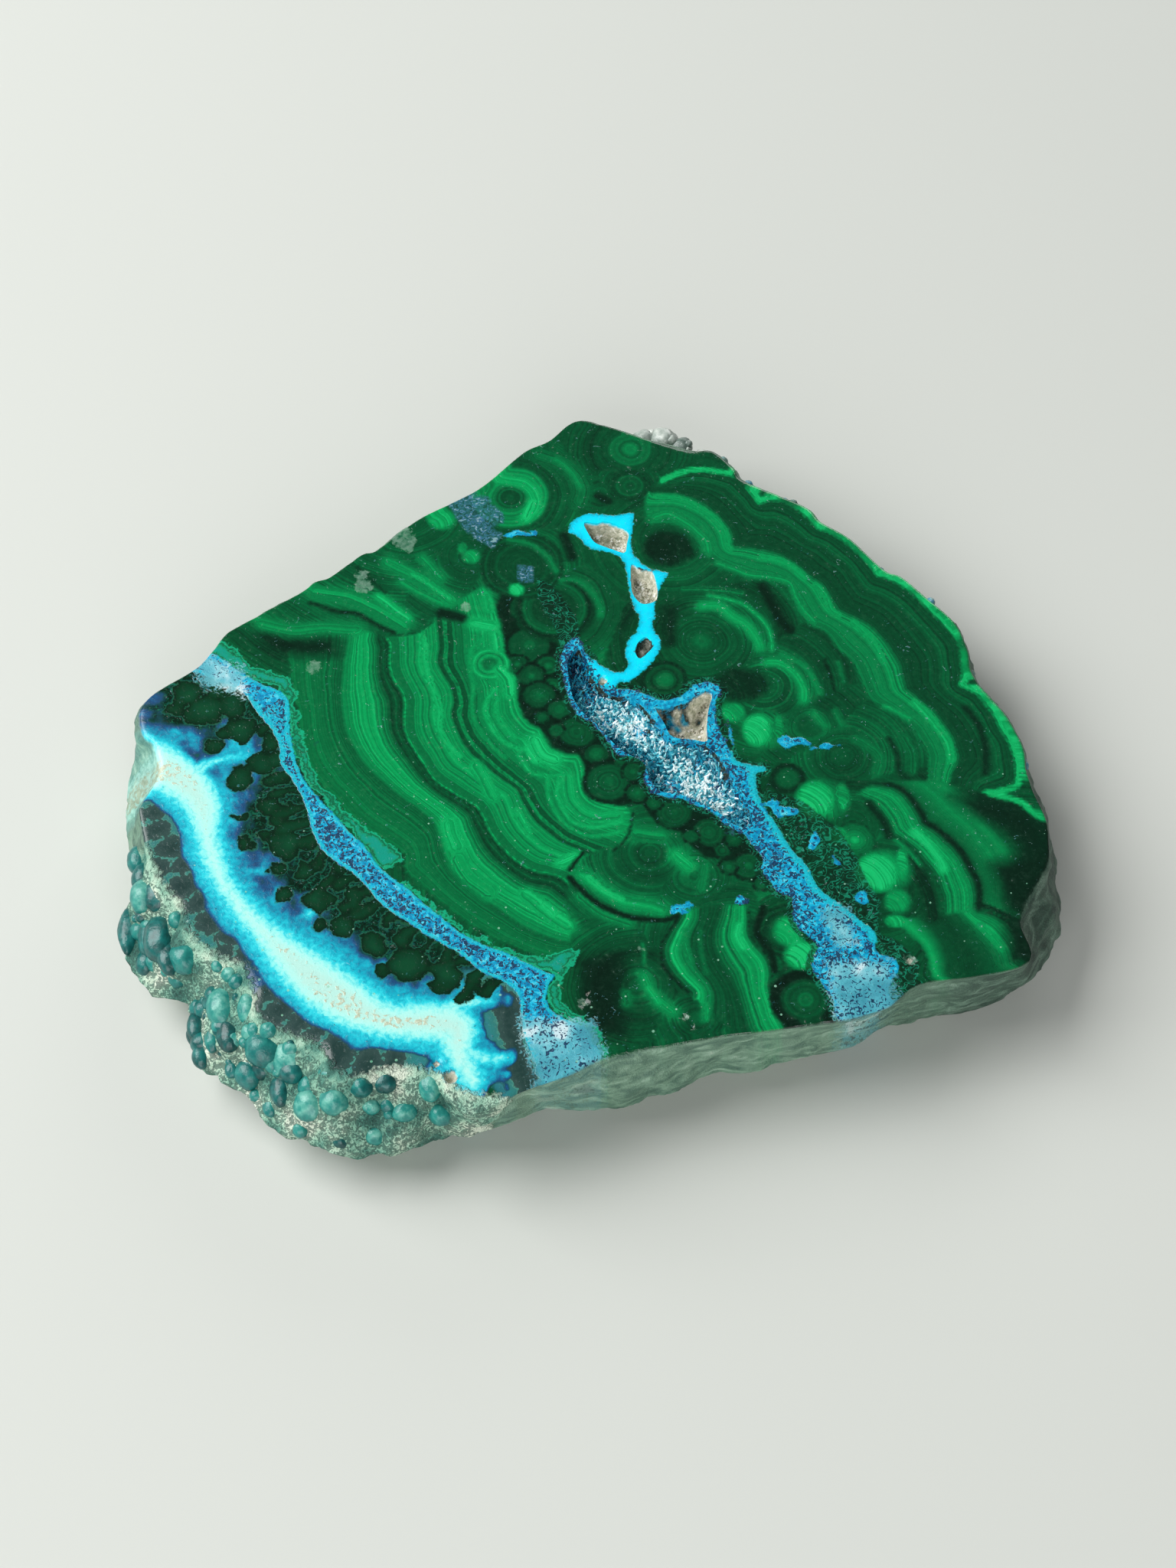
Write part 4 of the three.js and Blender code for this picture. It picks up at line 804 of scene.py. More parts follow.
    grey = np.where((inner_side < 0) & (points[:, 0] < -9.5), np.minimum(grey, 0.6), grey)
    return {
        "tone": np.clip(tone, 0, 1),
        "phase": phase,
        "vein": vein,
        "margin": cover(np.abs(vein + 0.12) - np.where(central, 0.3, 0.12), 0.16)
        * ~fuzzy * (patches > 0.3) * (points[:, 1] > np.where(central, -17, -40))
        + 0.56 * (vein < 0) * cover(nearest_disc(points, [(-22.4, 1, 3.4)]), 2),
        "loop": veins[1] + np.interp(points[:, 1], [7.6, 11], [-0.12, 0.22]),
        "speck": speck * (1 - 0.25 * cover(milk, 1.2)),
        "milk": cover(milk, 1.6),
        "white": white + 0.2,
        "lobe": np.minimum(nearest_disc(ragged, LOBES), fingers) + 0.22 * noise(points, 0.7, 21),
        "grey": grey,
        "fleck": cover(white + 0.7, 0.8) * (0.62 + 0.2 * noise(points, 2.4, 13)),
        "fringe": np.min([outline_distance(ragged, o) for o in (FRINGE, LOWER_FRINGE)], axis=0)
        + 0.12 * cover(1.6 - nearest_disc(points, [(-14.2, -9, 0.4), (-25.5, 7.6, 1)]), 2),
        "moss": np.max([cover(np.min([outline_distance(wavy, o) for o in MOSS], axis=0), 0.8),
                        cover(veins[2] - 0.5, 0.5) * (points[:, 1] < 9),
                        0.43 * cover(outline_distance(wavy, STALACTITE_GROUND), 0.8)], axis=0),
        "azure": cover(np.min([outline_distance(wavy, o) for o in AZURITE], axis=0), 0.8),
        "pale": cover(nearest_disc(wavy, PALE_SPOTS), 0.5),
        "dust": 0.03 * noise(points, 3, 20) + 0.002 * (points[:, 1] + 8),
    }

def outline_radius(outline, angle):
    """The distance from the middle of the plan to a smoothed outline, along each direction."""
    curve = smooth(outline, closed=True)
    return np.interp(angle, np.arctan2(*curve.T[::-1]), np.hypot(*curve.T), period=2 * np.pi)


def rim_ledges(angle, z, height):
    """Ledges, dents and lumps of the broken rim, as a distance outwards."""
    ledge = np.sin(2.6 * z + 1.4 * np.sin(3 * angle) + 0.3 * np.sin(11 * angle))
    dent = np.sin(19 * angle + 1.1 * z) * np.sin(31 * angle - 0.9 * z + 2)
    lump = np.sin(7 * angle + 0.7 * z + 1)
    return height * (0.45 * ledge + 0.5 * dent + 0.35 * lump)


def stone_radius(angle, z, sizes):
    """The radius of the stone at an angle and height. The rim falls from the polished face to
    the waist in a convex slope, and turns back under the stone below it."""
    face, waist = outline_radius(FACE_EDGE, angle), outline_radius(WAIST, angle)
    rough = rim_ledges(angle, z, sizes.rim_roughness / MM)
    waist_height = sizes.waist_height / MM
    if z >= waist_height:
        fall = (FACE_HEIGHT - z) / (FACE_HEIGHT - waist_height)
        return face + (waist - face) * fall**0.75 + rough * min(1, 3 * fall)
    under = 1 - z / waist_height
    lean = UNDERCUT_LEAN * np.sin(angle)
    inset = sizes.undercut / MM - lean + 0.25 * np.sin(5 * angle + 1)
    return waist - inset * under**1.6 + rough * (1 - 0.7 * under)


def around(radius, angle):
    """Points of the plan at a radius and an angle."""
    return np.stack([radius * np.cos(angle), radius * np.sin(angle)], axis=1)


def scattered(outline, spacing, margin, seed):
    """A jittered honeycomb of points inside an outline, further from its edge than the margin."""
    low, high = outline.min(axis=0), outline.max(axis=0)
    columns = np.arange(low[0], high[0], spacing)
    rows = np.arange(low[1], high[1], spacing * math.sqrt(0.75))
    x, y = np.meshgrid(columns, rows)
    x = x + np.where(np.arange(len(rows)) % 2, spacing / 2, 0)[:, None]
    points = np.stack([x.ravel(), y.ravel()], axis=1)
    points += np.random.default_rng(seed).uniform(-0.22, 0.22, points.shape) * spacing
    return points[outline_distance(points, outline) < -margin]


def triangulated(loop, inner_loops, inner_points):
    """Points and triangles, counter-clockwise, that fill a loop and keep its inner loops."""
    points = np.vstack([loop, *inner_loops, inner_points])
    edges, start = [], len(loop)
    for inner in inner_loops:
        count = len(inner)
        edges += [(start + i, start + (i + 1) % count) for i in range(count)]
        start += count
    made = delaunay_2d_cdt(
        [Vector(p) for p in points.tolist()], edges, [list(range(len(loop)))], 1, 1e-6
    )
    made_points, triangles = np.array([tuple(p) for p in made[0]]), np.array(made[2])
    a, b, c = (made_points[triangles[:, i]] for i in range(3))
    turn = (b[:, 0] - a[:, 0]) * (c[:, 1] - a[:, 1]) - (b[:, 1] - a[:, 1]) * (c[:, 0] - a[:, 0])
    triangles[turn < 0] = triangles[turn < 0][:, ::-1]
    return made_points, triangles


def evenly(outline, spacing):
    """A smoothed outline as points about that far apart."""
    curve = smooth(outline, closed=True, steps=8)
    closed = np.vstack([curve, curve[:1]])
    length = np.concatenate([[0], np.cumsum(np.hypot(*np.diff(closed, axis=0).T))])
    places = np.linspace(0, length[-1], max(8, int(length[-1] / spacing)), endpoint=False)
    return np.stack([np.interp(places, length, closed[:, i]) for i in (0, 1)], axis=1)


def drawn_in(loop, distance):
    """A loop moved inwards by a distance."""
    along = np.roll(loop, -1, axis=0) - np.roll(loop, 1, axis=0)
    along /= np.hypot(*along.T)[:, None]
    area = np.sum(loop[:, 0] * np.roll(loop[:, 1], -1) - loop[:, 1] * np.roll(loop[:, 0], -1))
    inwards = np.stack([-along[:, 1], along[:, 0]], axis=1) * np.sign(area)
    return loop + inwards * distance


def pit_depth(points):
    """How far the open hollows and the vug go down under the face, at points of the plan."""
    depth = np.zeros(len(points))
    for deepest, outline in [*HOLLOWS, (VUG_DEPTH, VUG)]:
        edge = outline_distance(points, evenly(outline, 0.2))
        inside = np.clip(-edge, 0, None)
        uneven = 0.82 + 0.18 * fractal(points, 0.9, 3, 21)
        depth = np.maximum(depth, deepest * uneven * (1 - np.exp(-inside / 0.2)))
    for x, y, radius, deepest in PITS:
        edge = np.hypot(*(points - (x, y)).T) / radius
        depth = np.maximum(depth, deepest * np.clip(1 - edge, 0, 1) ** 0.6)
    return depth


def linear(colour):
    """An sRGB colour such as #009B54 as a linear RGBA."""
    levels = [int(colour[i : i + 2], 16) / 255 for i in (1, 3, 5)]
    return (*(v / 12.92 if v <= 0.04045 else ((v + 0.055) / 1.055) ** 2.4 for v in levels), 1)


def add(tree, kind, inputs=(), **settings):
    """Adds a node with its settings, and links or sets its inputs by name or number."""
    node = tree.nodes.new(kind)
    for name, value in settings.items():
        setattr(node, name, value)
    for key, value in dict(inputs).items():
        if isinstance(value, bpy.types.NodeSocket):
            tree.links.new(value, node.inputs[key])
        else:
            node.inputs[key].default_value = value
    return node


def set_stops(ramp, stops):
    """Gives a colour ramp its stops, as (place, hex colour)."""
    elements = ramp.color_ramp.elements
    while len(elements) < len(stops):
        elements.new(1)
    for element, (place, colour) in zip(elements, stops):
        element.position = place
        element.color = linear(colour)


def new_material(name):
    """A material with a Principled surface, and its tree and shader."""
    material = bpy.data.materials.new(name)
    material.use_nodes = True
    tree = material.node_tree
    tree.nodes.clear()
    shader = add(tree, "ShaderNodeBsdfPrincipled")
    add(tree, "ShaderNodeOutputMaterial", {"Surface": shader.outputs["BSDF"]})
    return material, tree, shader


def stone_noises(tree):
    """Noise on Object coordinates in millimetres, by name, with lumps of a real size."""
    place = add(tree, "ShaderNodeTexCoord").outputs["Object"]
    in_mm = add(tree, "ShaderNodeMapping", {"Vector": place, "Scale": (1 / MM,) * 3})
    layered = add(tree, "ShaderNodeMapping", {"Vector": place, "Scale": (380, 380, 1300)})
    phase = add(tree, "ShaderNodeAttribute", attribute_name="phase").outputs["Fac"]
    kinds = {
        "mottle": (in_mm, 0.35, 4, 0.55, 0),  # clouds about 3 mm across
        "speckle": (in_mm, 2.6, 2, 0.6, 0.4),  # flecks about 0.4 mm across
        "worm": (in_mm, 2.8, 1, 0.4, 1.6),  # bent flecks about 0.4 mm long
        "grit": (in_mm, 7, 2, 0.6, 0),  # grains about 0.15 mm across
        "curl": (in_mm, 1.7, 1, 0.4, 1.4),  # contours of it give curls about 0.6 mm across
        "streak": (layered, 1, 5, 0.62, 1.1),  # ledges of the broken rim, parallel to the face
    }
    made = {
        name: add(tree, "ShaderNodeTexNoise",
                  {"Vector": vector.outputs[0], "Scale": scale, "Detail": detail,
                   "Roughness": rough, "Distortion": bend}).outputs["Fac"]
        for name, (vector, scale, detail, rough, bend) in kinds.items()
    }
    for name, scale in (("bands", 1.3), ("laminae", 5.5)):  # lines 0.8 mm and 0.2 mm apart
        made[name] = add(tree, "ShaderNodeTexNoise",
                         {"W": phase, "Scale": scale, "Detail": 3, "Roughness": 0.6},
                         noise_dimensions="1D").outputs["Fac"]
    cells = add(tree, "ShaderNodeTexVoronoi", {"Vector": in_mm.outputs[0], "Scale": 0.95})
    made["dots"] = cells.outputs["Distance"]  # low at scattered points about 1 mm apart
    return made


# What is laid over the malachite, in this order: the field, the values of it between which the
# coat fades in, the noise that moves that edge and how far, the most it covers, what its colours
# follow and between which values, its colours, its roughness and its relief in millimetres.
COATS = [
    ("moss", (0.35, 0.6), "speckle", 0.5, 0.8, "curl", (0, 1),
     [(0.3, "#011A0C"), (0.45, "#043020"), (0.487, "#1A8A6C"), (0.513, "#107A5A"),
      (0.55, "#043020"), (0.8, "#011A0C")], 0.18, 0.004),
    ("azure", (0.3, 0.62), "mottle", 1.4, 0.8, "worm", (0.3, 0.7),
     [(0, "#0A3A3C"), (0.35, "#1C5C5E"), (0.6, "#2E6C7C"), (0.8, "#3C6C9A"), (1, "#86AAB0")],
     0.3, 0.012),
    ("grey", (1.5, 0.8), "speckle", 0.9, 0.95, "grey", (-0.8, 1),
     [(0, "#1E3836"), (0.3, "#2E4644"), (0.42, "#304A46"), (0.45, "#46887A"), (0.52, "#2F7470"),
      (0.7, "#2A7876"), (1, "#2A7484")], 0.22, 0.006),
    ("white", (3.2, 2.2), "speckle", 1.3, 1, "white", (-1.2, 3.2),
     [(0, "#B4E4D8"), (0.16, "#AAEEE4"), (0.25, "#80E8E4"), (0.33, "#28D0DC"), (0.41, "#06ACC2"),
      (0.5, "#068AA8"), (0.59, "#0E648C"), (0.7, "#124470"), (0.84, "#0A4450"), (1, "#063438")],
     0.26, 0.01),
    ("fleck", (0.64, 0.8), "speckle", 1.6, 0.8, "grit", (0.3, 0.7),
     [(0, "#A89E7A"), (1, "#D8D8BC")], 0.4, 0.02),
    ("lobe", (0.1, -0.06), "speckle", 0.6, 1, "lobe", (-1.1, 0.12),
     [(0, "#074428"), (0.3, "#043C24"), (0.62, "#02321A"), (0.84, "#011E10"), (0.92, "#256A4C"),
      (1, "#0C8098")], 0.16, 0.005),
    ("fringe", (0.1, -0.08), "speckle", 0.8, 0.95, "fringe", (-0.5, 0.1),
     [(0, "#0A947E"), (0.28, "#0A9068"), (0.5, "#055838"), (0.66, "#0A8C60"), (0.84, "#18C896"),
      (1, "#34DCA4")],
     0.22, 0.008),
    ("vein", (0.06, -0.04), "speckle", 0.5, 1, "speckle", (0.3, 0.7),
     [(0, "#0470A0"), (0.4, "#0492BA"), (0.65, "#0CB2D6"), (1, "#50D0E4")], 0.24, 0.02),
    ("margin", (0.4, 0.7), "speckle", 0.6, 0.8, "grit", (0.3, 0.7),
     [(0, "#029CB0"), (1, "#1CCCD4")], 0.24, 0.02),
    ("loop", (0.06, -0.04), "speckle", 0.5, 1, "loop", (-0.7, 0.05),
     [(0, "#00E0FA"), (0.6, "#00D2F0"), (0.86, "#00B4CC"), (1, "#148678")], 0.2, 0.02),
    ("milk", (0.3, 0.66), "worm", 1.4, 0.86, "mottle", (0.36, 0.64),
     [(0, "#3E8E9C"), (0.4, "#54AAB6"), (0.7, "#72BCC6"), (0.88, "#98D0D6"), (1, "#D0E6E8")],
     0.34, 0.03),
    ("speck", (0.74, 0.84), "worm", 2.4, 0.95, "grit", (0.3, 0.7),
     [(0, "#021428"), (1, "#0A3E6A")], 0.3, 0.03),
    ("pale", (0.35, 0.7), "speckle", 1.6, 0.38, "speckle", (0.3, 0.7),
     [(0, "#2F7A5C"), (1, "#A4C8B4")], 0.4, 0.02),
    ("dust", (-0.435, -0.47), "dots", 1, 0.7, "grit", (0.3, 0.7),
     [(0, "#3FA87C"), (1, "#B4E0C8")], 0.4, 0.01),
    ("wall", (0.2, 0.8), "speckle", 0.5, 0.88, "streak", (0.25, 0.75),
     [(0, "#34584A"), (0.35, "#587A68"), (0.6, "#74967F"), (0.8, "#8EAE98"), (1, "#C0D2C0")],
     0.62, 0.08),
    # Painted shade on the rim wall, darker towards the right, the side turned away from the light.
    ("right_wall_shade", (0, 1), "speckle", 0.4, 0.8, "streak", (0.25, 0.75),
     [(0, "#10221A"), (0.5, "#2C463A"), (1, "#688676")], 0.6, 0.08),
    ("crust", (0.3, 0.6), "speckle", 0.9, 1, "mottle", (0.34, 0.66),
     [(0, "#2A6256"), (0.25, "#558F7E"), (0.45, "#86B69E"), (0.66, "#A8CEB6"), (0.86, "#C4DCC4"),
      (1, "#DCE8D4")], 0.7, 0.2),
    ("crust", (0.84, 1), "worm", 1.7, 0.75, "grit", (0.3, 0.7),
     [(0, "#0A2C28"), (1, "#286458")], 0.6, 0.2),
    # Painted shade: near black along the rims of the hollows and in the gaps between their grains, and the real dark
    # colour of the crystals of the small hollow.
    ("hollow_shade_and_dark_crystals", (0.3, 0.5), "speckle", 1.2, 1, "grit", (0.3, 0.7),
     [(0, "#030B08"), (0.6, "#10241C"), (1, "#4E6456")], 0.5, 0.1),
    ("sawn", (0, 1), "speckle", 0, 0.4, "mottle", (0.3, 0.7),
     [(0, "#2F5A48"), (1, "#7E9C8A")], 0.55, 0.05),
    ("lining", (0.15, 0.5), "speckle", 0.3, 1, "speckle", (0.3, 0.7),
     [(0, "#9A9C86"), (0.4, "#C6C6B0"), (0.75, "#E2DECC"), (1, "#FFFCF0")], 0.75, 0.12),
]


def banded_malachite(colours):
    """Polished banded malachite: botryoidal copper carbonate sawn across its growth and lapped
    to a gloss, so that it shows fine laminae from near-black to bright green, with glassy blue
    chrysocolla veins. The broken rim is dull and the sawn underside is dusty."""
    material, tree, shader = new_material("polished banded malachite")
    noises = stone_noises(tree)
    fields = {}
    for name in ("tone", *dict.fromkeys(coat[0] for coat in COATS)):
        fields[name] = add(tree, "ShaderNodeAttribute", attribute_name=name).outputs["Fac"]
    tone = fields["tone"]
    for name, least, more in (
        ("bands", 0.05, 0.58), ("laminae", -0.1, 1.02), ("speckle", 0.12, 0.05), ("grit", 0.08, 0.02),
    ):
        strength = add(tree, "ShaderNodeMath", {0: fields["tone"], 1: more, 2: least},
                       operation="MULTIPLY_ADD").outputs[0]
        around_none = add(tree, "ShaderNodeMath", {0: noises[name], 1: 0.5}, operation="SUBTRACT")
        tone = add(tree, "ShaderNodeMath", {0: around_none.outputs[0], 1: strength, 2: tone},
                   operation="MULTIPLY_ADD").outputs[0]
    ramp = add(tree, "ShaderNodeValToRGB", {"Fac": tone})
    set_stops(ramp, [(i / (len(colours) - 1), c) for i, c in enumerate(colours)])
    colour = ramp.outputs["Color"]
    rough, relief = 0.14, 0.001
    for name, (start, end), mover, wobble, most, guide, (low, high), stops, dull, lumps in COATS:
        moved = add(tree, "ShaderNodeMath", {0: noises[mover], 1: 0.5}, operation="SUBTRACT")
        edge = add(tree, "ShaderNodeMath", {0: moved.outputs[0], 1: wobble, 2: fields[name]},
                   operation="MULTIPLY_ADD").outputs[0]
        mask = add(tree, "ShaderNodeMapRange",
                   {"Value": edge, "From Min": start, "From Max": end, "To Max": most}).outputs[0]
        guide = edge if guide == name else noises[guide]
        share = add(tree, "ShaderNodeMapRange", {"Value": guide, "From Min": low, "From Max": high})
        ramp = add(tree, "ShaderNodeValToRGB", {"Fac": share.outputs[0]})
        set_stops(ramp, stops)
        colour = add(tree, "ShaderNodeMix", {"Factor": mask, "A": colour, "B": ramp.outputs[0]},
                     data_type="RGBA").outputs["Result"]
        rough = add(tree, "ShaderNodeMix", {"Factor": mask, "A": rough, "B": dull}).outputs[0]
        relief = add(tree, "ShaderNodeMix", {"Factor": mask, "A": relief, "B": lumps}).outputs[0]
    grains = add(tree, "ShaderNodeMath", {0: noises["speckle"], 1: noises["grit"]}, operation="ADD")
    height = add(tree, "ShaderNodeMath", {0: grains.outputs[0], 1: relief}, operation="MULTIPLY")
    bump = add(tree, "ShaderNodeBump", {"Height": height.outputs[0], "Distance": MM})
    tree.links.new(colour, shader.inputs["Base Color"])
    tree.links.new(rough, shader.inputs["Roughness"])
    tree.links.new(bump.outputs[0], shader.inputs["Normal"])
    shader.inputs["IOR"].default_value = 1.62
    shader.inputs["Specular IOR Level"].default_value = 0.35
    return material


def mineral(name, field, stops, rough, relief, scale, ior=1.55):
    """A rough or crystalline mineral whose colour follows a field of the piece and noise."""
    material, tree, shader = new_material(name)
    place = add(tree, "ShaderNodeTexCoord").outputs["Object"]
    in_mm = add(tree, "ShaderNodeMapping", {"Vector": place, "Scale": (1 / MM,) * 3})
    grain = add(tree, "ShaderNodeTexNoise",
                {"Vector": in_mm.outputs[0], "Scale": scale, "Detail": 3, "Roughness": 0.6})
    base = add(tree, "ShaderNodeAttribute", attribute_name=field).outputs["Fac"]
    moved = add(tree, "ShaderNodeMath", {0: grain.outputs["Fac"], 1: 0.5}, operation="SUBTRACT")
    share = add(tree, "ShaderNodeMath", {0: moved.outputs[0], 1: 0.9, 2: base},
                operation="MULTIPLY_ADD")
    ramp = add(tree, "ShaderNodeValToRGB", {"Fac": share.outputs[0]})
    set_stops(ramp, stops)
    bump = add(tree, "ShaderNodeBump",
               {"Height": grain.outputs["Fac"], "Distance": relief * MM})
    tree.links.new(ramp.outputs[0], shader.inputs["Base Color"])
    tree.links.new(bump.outputs[0], shader.inputs["Normal"])
    shader.inputs["Roughness"].default_value = rough
    shader.inputs["IOR"].default_value = ior
    return material


def new_piece(name, points, faces, material, fields=None):
    """A piece whose points are given in millimetres over the plan, kept inside the CAD box."""
    placed = np.array(points, float)
    placed[:, :2] -= CENTRE
    placed = np.clip(placed, CAD_LOW, CAD_HIGH) * MM
    mesh = bpy.data.meshes.new(name)
    edges = [] if len(faces) else [(i, i + 1) for i in range(len(placed) - 1)]
    mesh.from_pydata(placed.tolist(), edges, [tuple(f) for f in faces])
    for field, values in (fields or {}).items():
        layer = mesh.attributes.new(field, "FLOAT", "POINT")
        layer.data.foreach_set("value", np.asarray(values, np.float32))
    mesh.materials.append(material)
    piece = bpy.data.objects.new(name, mesh)
    bpy.context.scene.collection.objects.link(piece)
    return piece


def finish_piece(piece, node=None, sharp_from=40):
    """Shades a piece, hangs it on the body that it moves with, and hides the CAD part that it stands for."""
    piece.data.polygons.foreach_set("use_smooth", [True] * len(piece.data.polygons))
    piece.data.set_sharp_from_angle(angle=math.radians(sharp_from))
    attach(piece, BODY)
    if node:
        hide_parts(node)


def new_growth(name, sizes):
    """An empty Geometry Nodes tree with a Geometry input and output and named sizes."""
    tree = bpy.data.node_groups.new(name, "GeometryNodeTree")
    tree.interface.new_socket("Geometry", in_out="INPUT", socket_type="NodeSocketGeometry")
    for label, kind, value in sizes:
        socket = tree.interface.new_socket(label, in_out="INPUT", socket_type=kind)
        socket.default_value = value
    tree.interface.new_socket("Geometry", in_out="OUTPUT", socket_type="NodeSocketGeometry")
    return tree, add(tree, "NodeGroupInput").outputs


def settle(piece, tree, values):
    """Runs a node tree on a piece and keeps the result as its plain mesh."""
    modifier = piece.modifiers.new(tree.name, "NODES")
    modifier.node_group = tree
    for item in tree.interface.items_tree:
        if item.in_out == "INPUT" and item.name in values:
            modifier[item.identifier] = values[item.name]
    depsgraph = bpy.context.evaluated_depsgraph_get()
    grown = bpy.data.meshes.new_from_object(
        piece.evaluated_get(depsgraph), preserve_all_data_layers=True, depsgraph=depsgraph
    )
    piece.modifiers.clear()
    piece.data = grown


def icosphere(level):
    """The points and triangles of a sphere of radius 1."""
    mesh = bmesh.new()
    bmesh.ops.create_icosphere(mesh, subdivisions=level, radius=1)
    points = np.array([tuple(v.co) for v in mesh.verts])
    faces = np.array([[v.index for v in f.verts] for f in mesh.faces])
    mesh.free()
    return points, faces


def lumpy_balls(places, level, seed, lumps=0.09):
    """Balls at (x, y, z, width, height, depth), each dented by noise, with a shade for each that is painted lighter
    towards its top, a painted highlight as if lit from above.
    """
    ball, ball_faces = icosphere(level)
    points, faces, shades_lit_on_top = [], [], []
    shade = np.random.default_rng(seed).uniform(0.2, 0.8, len(places))
    for i, (x, y, z, *size) in enumerate(places):
        dented = ball * (1 + lumps * fractal(ball + 10 * i, 0.9, 3, seed))[:, None]
        faces.append(ball_faces + len(ball) * i)
        points.append(dented * size + (x, y, z))
        # Painted highlight: each ball is lighter towards its top.
        shades_lit_on_top.append(shade[i] + 0.15 * ball[:, 2])
    return np.vstack(points), np.vstack(faces), np.concatenate(shades_lit_on_top)


class SlabSizes(bpy.types.PropertyGroup):
    """Sizes of the slice and how finely it is meshed"""

    waist_height: bpy.props.FloatProperty(
        name="Waist height", description="Where the rough rim reaches furthest out",
        default=3.5 * MM, unit="LENGTH")
    arris: bpy.props.FloatProperty(
        name="Worn arris", description="Width of the worn edge of the polished face",
        default=0.16 * MM, unit="LENGTH")
    undercut: bpy.props.FloatProperty(
        name="Undercut", description="How far the underside stands back from the waist",
        default=1.9 * MM, unit="LENGTH")
    rim_roughness: bpy.props.FloatProperty(
        name="Rim roughness", description="Height of the ledges of the broken rim",
        default=0.2 * MM, unit="LENGTH")
    face_spacing: bpy.props.FloatProperty(
        name="Face detail", description="Distance between points of the polished face",
        default=0.215 * MM, unit="LENGTH")
    underside_spacing: bpy.props.FloatProperty(
        name="Underside detail", description="Distance between points of the sawn underside",
        default=0.7 * MM, unit="LENGTH")
    steps_round: bpy.props.IntProperty(
        name="Steps round", description="Points around the rim", default=760, min=60)
    colours: bpy.props.StringProperty(
        name="Malachite colours", description="sRGB colours from the darkest band to the palest",
        default="#010F08 #012A18 #00502C #00743F #009650 #12B868")


class CrustSizes(bpy.types.PropertyGroup):
    """Sizes of the crystal crust, the beads and the grains"""

    crystal_length: bpy.props.FloatProperty(
        name="Crystal length", description="Length of the longest crystals of the vug",
        default=0.5 * MM, unit="LENGTH")
    crystal_width: bpy.props.FloatProperty(
        name="Crystal width", description="Width of the widest crystals of the vug",
        default=0.14 * MM, unit="LENGTH")
    crystals_per_mm2: bpy.props.FloatProperty(
        name="Crystals per square mm", description="How closely the crystals stand", default=30)
    bead_radius: bpy.props.FloatProperty(
        name="Bead radius", description="Radius of the largest beads of the outer crust",
        default=0.45 * MM, unit="LENGTH")
    bead_spacing: bpy.props.FloatProperty(
        name="Bead spacing", description="Distance between the beads along the rim",
        default=0.5 * MM, unit="LENGTH")
    grain_size: bpy.props.FloatProperty(
        name="Grain size", description="Size of the largest grains that line the hollows",
        default=0.16 * MM, unit="LENGTH")


class StageSizes(bpy.types.PropertyGroup):
    """The floor, the lights and the camera"""

    floor_colour: bpy.props.FloatVectorProperty(
        name="Floor colour", description="Colour of the plain floor", subtype="COLOR", size=4,
        min=0, max=1, default=linear("#CDD0CA"))
    camera_distance: bpy.props.FloatProperty(
        name="Camera distance", description="From the camera to the middle of the view",
        default=233.33 * MM, unit="LENGTH")
    camera_elevation: bpy.props.FloatProperty(
        name="Camera elevation", description="Angle of the view above the floor",
        default=math.radians(56), subtype="ANGLE")
    focal_pixels: bpy.props.FloatProperty(
        name="Focal length in pixels", description="On an image that is 2048 pixels high",
        default=4200)
    key_power: bpy.props.FloatProperty(
        name="Key light", description="Power of the large light on the left", default=5,
        unit="POWER")


